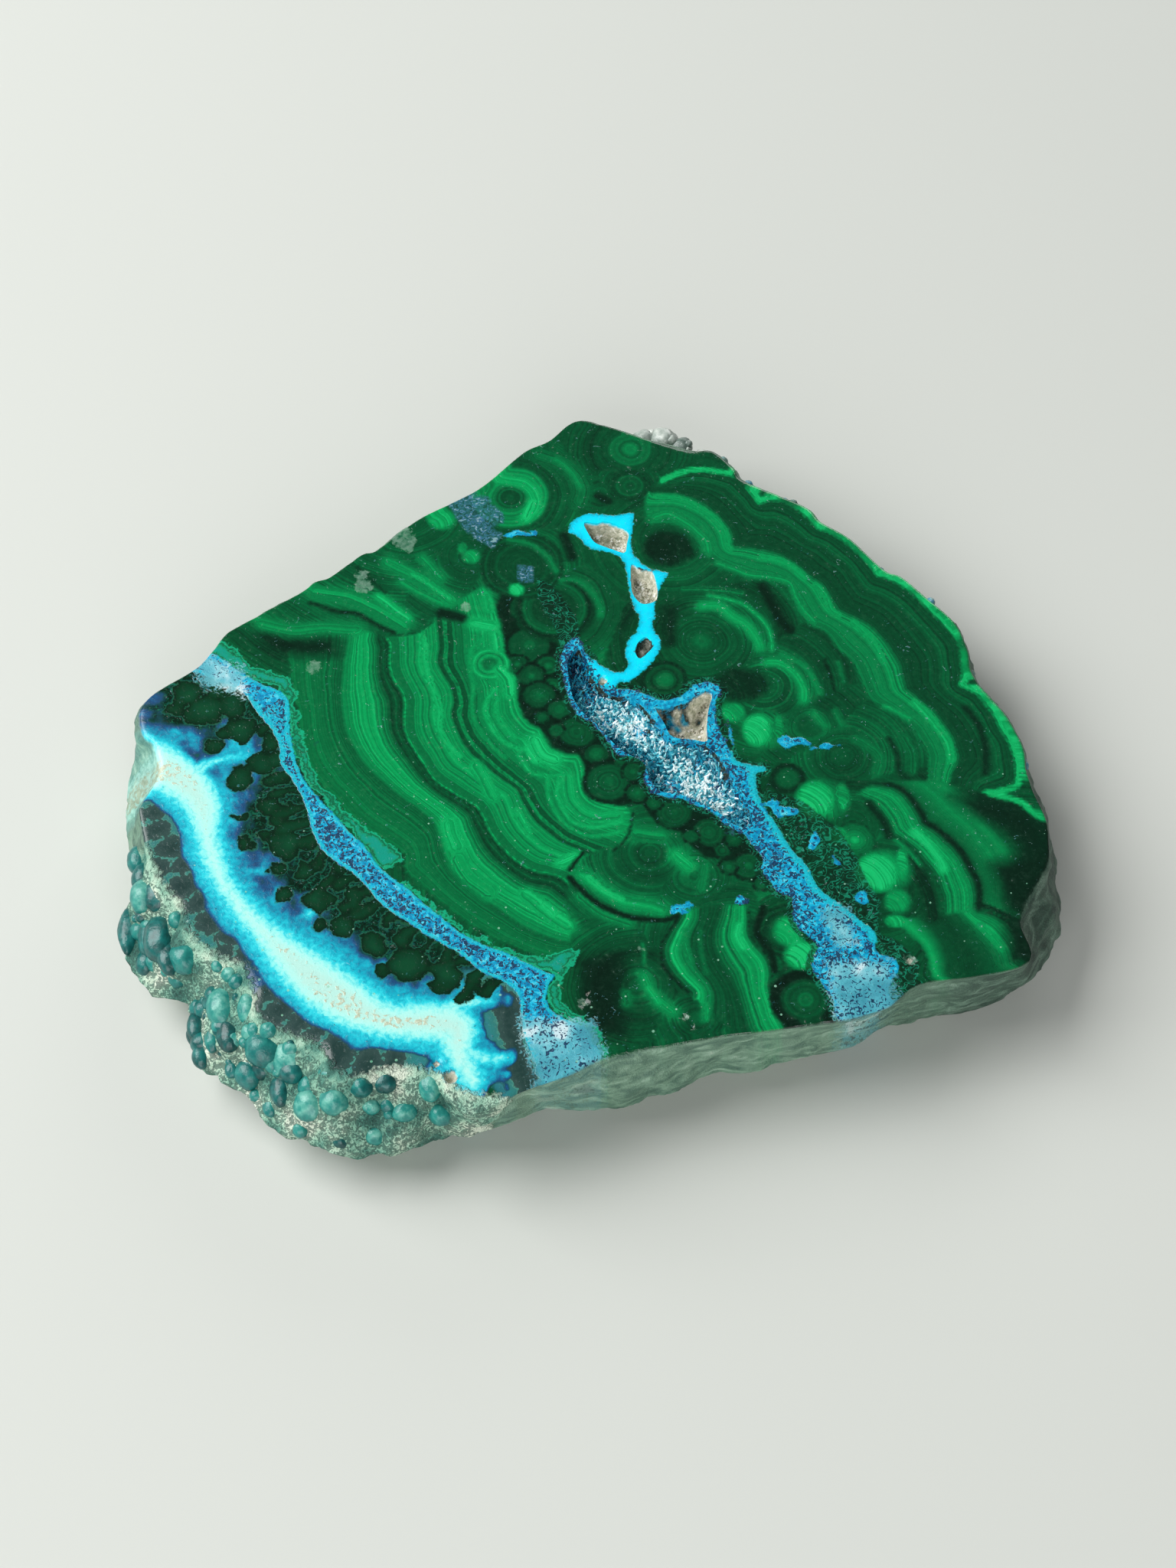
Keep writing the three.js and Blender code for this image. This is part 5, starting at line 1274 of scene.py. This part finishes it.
class STONE_OT_slab(bpy.types.Operator):
    """Make the slice of banded stone, with its pattern, rim and open hollows"""

    bl_idname = "stone.slab"
    bl_label = "Banded Slab"

    def execute(self, context):
        sizes = context.scene.slab_sizes
        count = sizes.steps_round
        angle = np.linspace(0, 2 * np.pi, count, endpoint=False)
        arris = sizes.arris / MM
        # Worn round at the arris, then evenly down to the sawn underside.
        levels = [(FACE_HEIGHT, arris), (FACE_HEIGHT - 0.03, 0.4 * arris),
                  (FACE_HEIGHT - 0.1, 0.1 * arris)]
        levels += [(z, 0) for z in np.linspace(FACE_HEIGHT - 0.35, 0.3, 17)]
        levels += [(0.1, 0.05), (0, 0.16)]
        rings = []
        for z, worn in levels:
            radius = stone_radius(angle, z, sizes)
            place = np.column_stack([around(radius, angle), np.full(count, z)])
            free = min(1, (FACE_HEIGHT - z) / 0.8) * min(1, 0.3 + z / 1.5)
            chips = 0.12 * np.clip(noise(place, 0.9, 60) - 0.35, 0, 1) * (z > FACE_HEIGHT - 0.4)
            broken = 0.34 * fractal(place * (1, 1, 1.7), 2.2, 5, 40) * free
            crusty = cover(outline_distance(place[:, :2], CRUST), 1.5) * free
            lumps = np.abs(noise(place, 1.7, 61)) + 0.5 * np.abs(noise(place, 0.9, 62)) - 0.4
            rings.append(around(radius - worn - chips + broken + 0.7 * lumps * crusty, angle))

        spacing = sizes.face_spacing / MM
        rims = [evenly(outline, 0.16) for _, outline in [*HOLLOWS, (VUG_DEPTH, VUG)]]
        loops = [*rims, *(drawn_in(rim, 0.1) for rim in rims)]
        inner = scattered(rings[0], spacing, 0.6 * spacing, 1)
        near = np.min([path_distance(inner, loop, closed=True)[0] for loop in loops], axis=0)
        face, face_triangles = triangulated(rings[0], loops, inner[near > 0.5 * spacing])
        depth = pit_depth(face)

        below = sizes.underside_spacing / MM
        inner = scattered(rings[-1], below, 0.6 * below, 2)
        base, base_triangles = triangulated(rings[-1], [], inner)

        wall = [np.column_stack([ring, np.full(count, z)])
                for ring, (z, _) in zip(rings[1:], levels[1:])]
        points = np.vstack([np.column_stack([face, FACE_HEIGHT - depth]), *wall,
                            np.column_stack([base[count:], np.zeros(len(base) - count)])])
        starts = [0, *(len(face) + count * i for i in range(len(wall)))]
        here, after = np.arange(count), np.roll(np.arange(count), -1)
        faces = face_triangles.tolist()
        for upper, lower in zip(starts, starts[1:]):
            faces += np.column_stack(
                [upper + here, lower + here, lower + after, upper + after]).tolist()
        faces += (base_triangles + starts[-1])[:, ::-1].tolist()

        # The rim takes the pattern of the face just inside its edge.
        edge = outline_radius(FACE_EDGE, np.arctan2(points[:, 1], points[:, 0])) - 0.5
        reach = np.minimum(1, edge / np.maximum(np.hypot(points[:, 0], points[:, 1]), 1e-6))
        fields = pattern(points[:, :2] * reach[:, None])
        height = points[:, 2]
        is_wall = np.zeros(len(points))
        is_wall[len(face) : len(face) + count * len(wall)] = 1
        fields["wall"] = is_wall * np.clip((FACE_HEIGHT - 0.02 - height) / 0.35, 0, 1)
        fields["crust"] = cover(outline_distance(points[:, :2], CRUST), 1.6) * (height > 0.5)
        fields["sawn"] = (height < 0.05).astype(float)
        in_hollow = np.clip((depth - 0.1) / 0.5, 0, 1) * (outline_distance(face, VUG) > 0.1)
        in_shallow = cover(outline_distance(face, HOLLOWS[-1][1]), 0.3)
        blue = cover(nearest_disc(face, BLUE_IN_HOLLOW), 0.5)
        # Painted shade in the hollows: a dark band round their rims and down their upper walls, and dark patches in
        # the gaps between their grains. The small shallow hollow is darkened too, for its dark crystals.
        rim_shadow = np.clip(depth / 0.25, 0, 1) * np.clip((1.3 - depth) / 0.5, 0, 1)
        fields["lining"], fields["hollow_shade_and_dark_crystals"] = np.zeros((2, len(points)))
        fields["lining"][: len(face)] = in_hollow * (1 - 0.85 * blue) * (1 - 0.7 * in_shallow)
        rim = np.min([np.abs(outline_distance(face, o) + 0.14) for _, o in HOLLOWS], axis=0)
        rim_shadow = np.maximum(rim_shadow, cover(rim - 0.14, 0.12))
        shaded_gaps = in_hollow * np.clip(4 * (noise(face, 0.7, SHADED_GAPS[0]) - SHADED_GAPS[1]), 0, 0.6)
        hollow_shade_and_dark_crystals = rim_shadow * (0.44 + 0.35 * noise(face, 1.1, 16)) + 0.4 * in_shallow
        fields["hollow_shade_and_dark_crystals"][: len(face)] = np.maximum(hollow_shade_and_dark_crystals, shaded_gaps)
        fields["speck"][: len(face)] *= 1 - in_hollow
        bluish = np.where(points[:, 0] < 8, fields["white"], fields["vein"] + 0.4)
        fields["wall"] *= 1 - 0.4 * cover(bluish, 0.9)
        # Painted shade: the rim wall darkens towards the right, where it is turned from the light.
        fields["right_wall_shade"] = fields["wall"] * np.clip((points[:, 0] - 18) / 10, 0, 1)
        material = banded_malachite(sizes.colours.split())
        piece = new_piece("banded_slice", points, faces, material, fields)
        finish_piece(piece, "slab")
        return {"FINISHED"}


def rim_height(x, y, sizes):
    """The height at which the sloping rim passes a point of the plan."""
    z = FACE_HEIGHT
    angle = np.array([math.atan2(y, x)])
    while z > sizes.waist_height / MM and stone_radius(angle, z, sizes)[0] < math.hypot(x, y):
        z -= 0.1
    return z


class STONE_OT_nodules(bpy.types.Operator):
    """Make the grape-like nodules of the lower left rim"""

    bl_idname = "stone.nodules"
    bl_label = "Rim Nodules"

    def execute(self, context):
        sizes = context.scene.slab_sizes
        places = []
        for x, y, width, height in NODULES:
            flat = min(width, height)
            z = min(rim_height(x, y, sizes), FACE_HEIGHT - flat) - 0.5 * flat
            places.append((x, y, z, 1.15 * width, 1.15 * height, 1.1 * flat))
        random = np.random.default_rng(7)
        for _ in range(SMALL_NODULES):
            angle, z, size = random.uniform((*SMALL_FROM, 0.3), (*SMALL_TO, 0.85))
            out = stone_radius(np.array([angle]), z, sizes)[0] - 0.75 * size
            places.append((out * math.cos(angle), out * math.sin(angle), z, size, size, size))
        points, faces, shade = lumpy_balls(places, 4, 12)
        material = mineral(
            "weathered malachite nodules", "shade",
            [(0, "#042C2C"), (0.3, "#084A48"), (0.55, "#0E6A66"), (0.8, "#24867C"),
             (1, "#64AE9E")], 0.34, 0.08, 1.45)
        piece = new_piece("rim_nodules", points, faces, material, {"shade": shade})
        finish_piece(piece)
        return {"FINISHED"}


class STONE_OT_lumps(bpy.types.Operator):
    """Make the quartz lumps behind the top right edge"""

    bl_idname = "stone.lumps"
    bl_label = "Quartz Lumps"

    def execute(self, context):
        random = np.random.default_rng(5)
        places = []
        for x, y, z, radius in LUMPS:
            places.append((x, y, z, radius, radius, radius))
            for _ in range(5):
                size = radius * random.uniform(0.25, 0.5)
                dx, dy, dz = random.uniform(-0.75, 0.75, 3) * radius
                places.append((x + dx, y + dy, z + dz, size, size, size))
        points, faces, shade = lumpy_balls(places, 3, 6, 0.2)
        material = mineral(
            "milky quartz", "shade",
            [(0, "#2E4A40"), (0.4, "#6F8078"), (0.7, "#A9B4AC"), (1, "#DDE2DA")],
            0.3, 0.08, 1.8)
        piece = new_piece("quartz_lumps", points, faces, material, {"shade": shade})
        finish_piece(piece)
        return {"FINISHED"}


def bead_growth():
    """A node tree that strings beads of mixed sizes along the crest of the rim."""
    tree, given = new_growth("Beads along the rim", [
        ("Spacing", "NodeSocketFloat", 0.5 * MM), ("Radius", "NodeSocketFloat", 0.45 * MM),
        ("Spread", "NodeSocketFloat", 0.5 * MM), ("Seed", "NodeSocketInt", 3),
        ("Material", "NodeSocketMaterial", None)])
    line = add(tree, "GeometryNodeMeshToCurve", {"Mesh": given["Geometry"]})
    strung = add(tree, "GeometryNodeResampleCurve",
                 {"Curve": line.outputs[0], "Length": given["Spacing"]}, mode="LENGTH")
    places = add(tree, "GeometryNodeCurveToPoints", {"Curve": strung.outputs[0]},
                 mode="EVALUATED")
    away = add(tree, "FunctionNodeRandomValue",
               {"Min": (-1, -1, -1.6), "Max": (0.1, 0.1, 0.6), "Seed": given["Seed"]},
               data_type="FLOAT_VECTOR")
    away = add(tree, "ShaderNodeVectorMath", {0: away.outputs["Value"], "Scale": given["Spread"]},
               operation="SCALE")
    places = add(tree, "GeometryNodeSetPosition",
                 {"Geometry": places.outputs[0], "Offset": away.outputs[0]})
    ball = add(tree, "GeometryNodeMeshIcoSphere", {"Radius": given["Radius"], "Subdivisions": 2})
    size = add(tree, "FunctionNodeRandomValue",
               {"Min": (0.45, 0.45, 0.45), "Max": (1, 1, 1), "Seed": given["Seed"]},
               data_type="FLOAT_VECTOR")
    turn = add(tree, "FunctionNodeRandomValue",
               {"Min": (0, 0, 0), "Max": (6.28, 6.28, 6.28), "Seed": given["Seed"]},
               data_type="FLOAT_VECTOR")
    beads = add(tree, "GeometryNodeInstanceOnPoints",
                {"Points": places.outputs[0], "Instance": ball.outputs[0],
                 "Scale": size.outputs["Value"], "Rotation": turn.outputs["Value"]})
    shade = add(tree, "FunctionNodeRandomValue", {2: 0.1, 3: 0.9, "Seed": given["Seed"]})
    shaded = add(tree, "GeometryNodeStoreNamedAttribute",
                 {"Geometry": beads.outputs[0], "Name": "shade", "Value": shade.outputs[1]},
                 domain="INSTANCE")
    finish_growth(tree, shaded.outputs[0], given["Material"])
    return tree


def finish_growth(tree, geometry, material):
    """Ends a node tree with real meshes in their material."""
    real = add(tree, "GeometryNodeRealizeInstances", {"Geometry": geometry})
    dressed = add(tree, "GeometryNodeSetMaterial",
                  {"Geometry": real.outputs[0], "Material": material})
    add(tree, "NodeGroupOutput", {"Geometry": dressed.outputs[0]})


class STONE_OT_beads(bpy.types.Operator):
    """String the beads of the outer crust along the right edge"""

    bl_idname = "stone.beads"
    bl_label = "Rim Beads"

    def execute(self, context):
        sizes, crust = context.scene.slab_sizes, context.scene.crust_sizes
        material = mineral(
            "weathered bead crust", "shade",
            [(0, "#16302A"), (0.4, "#3F5F54"), (0.7, "#6F9088"), (0.9, "#3E8CAC"),
             (1, "#8FB4B0")], 0.45, 0.05, 2.2)
        angle = np.radians(np.linspace(BEADS_FROM, BEADS_TO, 160))
        rows = []
        for z in (7.25, 6.4):
            rows.append(np.column_stack(
                [around(stone_radius(angle, z, sizes) - 0.1, angle), np.full(len(angle), z)]))
        line = np.vstack([rows[0], rows[1][::-1]])
        piece = new_piece("rim_beads", line, [], material)
        settle(piece, bead_growth(), {
            "Spacing": crust.bead_spacing, "Radius": crust.bead_radius, "Spread": 0.45 * MM,
            "Seed": 3, "Material": material})
        finish_piece(piece, sharp_from=180)
        return {"FINISHED"}


def crystal_growth():
    """A node tree that sets pointed crystals, leaning all ways, on the top of a bed."""
    tree, given = new_growth("Crystals on a bed", [
        ("Density", "NodeSocketFloat", 2.6e7), ("Length", "NodeSocketFloat", 0.75 * MM),
        ("Width", "NodeSocketFloat", 0.13 * MM), ("Lean", "NodeSocketFloat", 0.9),
        ("Sides", "NodeSocketInt", 5), ("Keep Bed", "NodeSocketBool", True),
        ("Seed", "NodeSocketInt", 8), ("Material", "NodeSocketMaterial", None)])
    upwards = add(tree, "GeometryNodeInputNormal")
    upwards = add(tree, "ShaderNodeSeparateXYZ", {0: upwards.outputs[0]})
    on_top = add(tree, "FunctionNodeCompare", {0: upwards.outputs["Z"], 1: 0.3},
                 operation="GREATER_THAN")
    places = add(tree, "GeometryNodeDistributePointsOnFaces",
                 {"Mesh": given["Geometry"], "Selection": on_top.outputs[0],
                  "Density": given["Density"], "Seed": given["Seed"]})
    tip = add(tree, "ShaderNodeMath", {0: given["Width"], 1: 0.25}, operation="MULTIPLY")
    point = add(tree, "GeometryNodeMeshCone",
                {"Vertices": given["Sides"], "Radius Top": tip.outputs[0],
                 "Radius Bottom": given["Width"], "Depth": given["Length"]})
    lower_lean = add(tree, "ShaderNodeMath", {0: given["Lean"], 1: -1}, operation="MULTIPLY")
    least = add(tree, "ShaderNodeCombineXYZ",
                {"X": lower_lean.outputs[0], "Y": lower_lean.outputs[0], "Z": 0})
    most = add(tree, "ShaderNodeCombineXYZ", {"X": given["Lean"], "Y": given["Lean"], "Z": 6.28})
    lean = add(tree, "FunctionNodeRandomValue",
               {"Min": least.outputs[0], "Max": most.outputs[0], "Seed": given["Seed"]},
               data_type="FLOAT_VECTOR")
    size = add(tree, "FunctionNodeRandomValue", {2: 0.35, 3: 1.0, "Seed": given["Seed"]})
    crystals = add(tree, "GeometryNodeInstanceOnPoints",
                   {"Points": places.outputs[0], "Instance": point.outputs[0],
                    "Rotation": lean.outputs["Value"], "Scale": size.outputs[1]})
    shade = add(tree, "FunctionNodeRandomValue", {2: -0.45, 3: 0.45, "Seed": given["Seed"]})
    frost_and_glitter = add(tree, "GeometryNodeInputNamedAttribute", {"Name": "shade"})
    shade = add(tree, "ShaderNodeMath", {0: frost_and_glitter.outputs["Attribute"], 1: shade.outputs[1]},
                operation="ADD")
    shaded = add(tree, "GeometryNodeStoreNamedAttribute",
                 {"Geometry": crystals.outputs[0], "Name": "shade", "Value": shade.outputs[0]},
                 domain="INSTANCE")
    bed = add(tree, "GeometryNodeSwitch",
              {"Switch": given["Keep Bed"], "True": given["Geometry"]}, input_type="GEOMETRY")
    joined = add(tree, "GeometryNodeJoinGeometry", {0: shaded.outputs[0]})
    tree.links.new(bed.outputs[0], joined.inputs[0])
    finish_growth(tree, joined.outputs[0], given["Material"])
    return tree


def bed_mesh(outline, top_height, bottom, spacing, seed):
    """A closed bed over an outline: its points and triangles, with a top that top_height gives."""
    loop = evenly(outline, spacing)
    inner = scattered(loop, spacing, 0.5 * spacing, seed)
    plan, triangles = triangulated(loop, [], inner)
    top = np.column_stack([plan, top_height(plan)])
    under = np.column_stack([plan, np.full(len(plan), bottom)])
    here, after = np.arange(len(loop)), np.roll(np.arange(len(loop)), -1)
    side = np.column_stack([here, here + len(plan), after + len(plan), after])
    faces = [*triangles.tolist(), *(triangles + len(plan))[:, ::-1].tolist(), *side.tolist()]
    return np.vstack([top, under]), faces


class STONE_OT_druse(bpy.types.Operator):
    """Line the vug with its crust of fine crystals"""

    bl_idname = "stone.druse"
    bl_label = "Crystal Crust"

    def execute(self, context):
        crust = context.scene.crust_sizes
        outline = drawn_in(evenly(VUG, 0.25), 0.06)

        def top(plan):
            inside = np.clip(-outline_distance(plan, outline), 0, 0.8)
            return 6.85 + 0.35 * (1 - inside / 0.8) + 0.16 * fractal(plan, 1.2, 3, 31)

        points, faces = bed_mesh(outline, top, FACE_HEIGHT - VUG_DEPTH - 0.1, 0.28, 5)
        plan = points[:, :2]
        # The crystals are paler where they are frosted, and this white is also painted glitter, the sparkle of light
        # on their faces.
        frost_and_glitter = 0.3 + 0.14 * fractal(plan, 1.6, 2, 33)
        for x, y, radius, gain in FROST_AND_GLITTER:
            frost_and_glitter += gain * np.exp(-(np.hypot(*(plan - (x, y)).T) / radius) ** 2)
        # The palest stops, near white, are partly painted glitter.
        material = mineral(
            "druse of azurite and quartz crystals", "shade",
            [(0, "#081E38"), (0.22, "#124868"), (0.42, "#1A7C98"), (0.62, "#36A2B8"),
             (0.8, "#6AD0DA"), (0.96, "#F0FFFF")], 0.12, 0.02, 3)
        piece = new_piece("crystal_crust", points, faces, material, {"shade": frost_and_glitter})
        settle(piece, crystal_growth(), {
            "Density": crust.crystals_per_mm2 / MM**2, "Length": crust.crystal_length,
            "Width": crust.crystal_width, "Seed": 8, "Material": material})
        finish_piece(piece, "druse_crust", sharp_from=20)
        return {"FINISHED"}


class STONE_OT_grains(bpy.types.Operator):
    """Line the open hollows with coarse tan grains"""

    bl_idname = "stone.grains"
    bl_label = "Hollow Grains"

    def execute(self, context):
        crust = context.scene.crust_sizes
        points, faces, start = [], [], 0
        for _, outline in HOLLOWS[:-1]:
            loop = drawn_in(evenly(outline, 0.25), 0.26)
            plan, triangles = triangulated(loop, [], scattered(loop, 0.25, 0.1, 9))
            middles = plan[triangles].mean(axis=1)
            clear = nearest_disc(middles, BLUE_IN_HOLLOW) > 0
            # No grains over the turquoise, nor where the painted shade of the gaps shows.
            triangles = triangles[clear & (noise(middles, 0.7, SHADED_GAPS[0]) < SHADED_GAPS[1] + 0.1)]
            points.append(np.column_stack([plan, FACE_HEIGHT - pit_depth(plan)]))
            faces.append(triangles + start)
            start += len(plan)
        points, faces = np.vstack(points), np.vstack(faces)
        shade = 0.5 + 0.35 * fractal(points[:, :2], 0.9, 2, 50) - 0.2 * (points[:, 1] < 6)
        material = mineral(
            "iron-stained quartz grains", "shade",
            [(0, "#6A6854"), (0.25, "#A8A28C"), (0.55, "#E2DCCC"), (1, "#FFFFFF")],
            0.4, 0.03, 4)
        piece = new_piece("hollow_grains", points, faces, material, {"shade": shade})
        settle(piece, crystal_growth(), {
            "Density": 22 / MM**2, "Length": crust.grain_size * 1.4, "Width": crust.grain_size,
            "Lean": 1.5, "Keep Bed": False, "Seed": 4, "Material": material})
        finish_piece(piece, sharp_from=20)
        return {"FINISHED"}


class STONE_OT_stage(bpy.types.Operator):
    """Lay the pale floor, and set the soft lights and the camera"""

    bl_idname = "stone.stage"
    bl_label = "Stage"

    def execute(self, context):
        sizes = context.scene.stage_sizes
        scene = context.scene
        material, tree, shader = new_material("plain pale floor")
        shader.inputs["Base Color"].default_value = sizes.floor_colour
        shader.inputs["Roughness"].default_value = 0.9
        half = 1.5
        mesh = bpy.data.meshes.new("floor")
        mesh.from_pydata([(-half, -half, 0), (half, -half, 0), (half, half, 0), (-half, half, 0)],
                         [], [(0, 1, 2, 3)])
        mesh.materials.append(material)
        floor = bpy.data.objects.new("floor", mesh)
        scene.collection.objects.link(floor)
        floor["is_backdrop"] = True

        for name, place, size, power in (
            ("key", (-0.42, 0.12, 0.42), 0.5, sizes.key_power),
            ("fill", (-0.05, -0.55, 0.26), 0.5, 0.5 * sizes.key_power),
            ("back", (0.2, 0.75, 0.28), 0.4, 0.3 * sizes.key_power),
        ):
            light = bpy.data.lights.new(name, "AREA")
            light.size, light.energy = size, power
            lamp = bpy.data.objects.new(name, light)
            lamp.location = place
            lamp.rotation_euler = (-Vector(place)).to_track_quat("-Z", "Y").to_euler()
            scene.collection.objects.link(lamp)

        world = bpy.data.worlds.new("studio")
        world.use_nodes = True
        background = world.node_tree.nodes["Background"]
        background.inputs["Color"].default_value = linear("#E8EEF0")
        background.inputs["Strength"].default_value = 0.12
        scene.world = world
        scene.view_settings.view_transform = "Standard"

        camera = bpy.data.cameras.new("camera")
        camera.sensor_width = 36
        camera.lens = 36 * sizes.focal_pixels / 2048
        camera.clip_start, camera.clip_end = 0.01, 10
        viewer = bpy.data.objects.new("camera", camera)
        lift = sizes.camera_elevation
        target = Vector((*(np.array(VIEW_POINT) - CENTRE) * MM, FACE_HEIGHT * MM))
        away = Vector((0, -math.cos(lift), math.sin(lift)))
        viewer.location = target + away * sizes.camera_distance
        viewer.rotation_euler = (-away).to_track_quat("-Z", "Y").to_euler()
        scene.collection.objects.link(viewer)
        scene.camera = viewer
        return {"FINISHED"}


OPERATORS = (STONE_OT_slab, STONE_OT_nodules, STONE_OT_lumps, STONE_OT_beads, STONE_OT_druse,
             STONE_OT_grains, STONE_OT_stage)
GROUPS = (("slab_sizes", SlabSizes), ("crust_sizes", CrustSizes), ("stage_sizes", StageSizes))


class STONE_PT_panel(bpy.types.Panel):
    """The sizes of the stone and a button for each of its pieces"""

    bl_label = "Stone Slab"
    bl_space_type = "VIEW_3D"
    bl_region_type = "UI"
    bl_category = "Stone Slab"

    def draw(self, context):
        for name, group in GROUPS:
            box = self.layout.box()
            for label in group.__annotations__:
                box.prop(getattr(context.scene, name), label)
        for operator in OPERATORS:
            self.layout.operator(operator.bl_idname)


def register():
    for group in (*(g for _, g in GROUPS), *OPERATORS, STONE_PT_panel):
        bpy.utils.register_class(group)
    for name, group in GROUPS:
        setattr(bpy.types.Scene, name, bpy.props.PointerProperty(type=group))


def unregister():
    for name, _ in GROUPS:
        delattr(bpy.types.Scene, name)
    for group in reversed((*(g for _, g in GROUPS), *OPERATORS, STONE_PT_panel)):
        bpy.utils.unregister_class(group)


def main():
    register()
    for operator in OPERATORS:
        section, name = operator.bl_idname.split(".")
        getattr(getattr(bpy.ops, section), name)()
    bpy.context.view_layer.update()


if __name__ == "__main__":
    main()
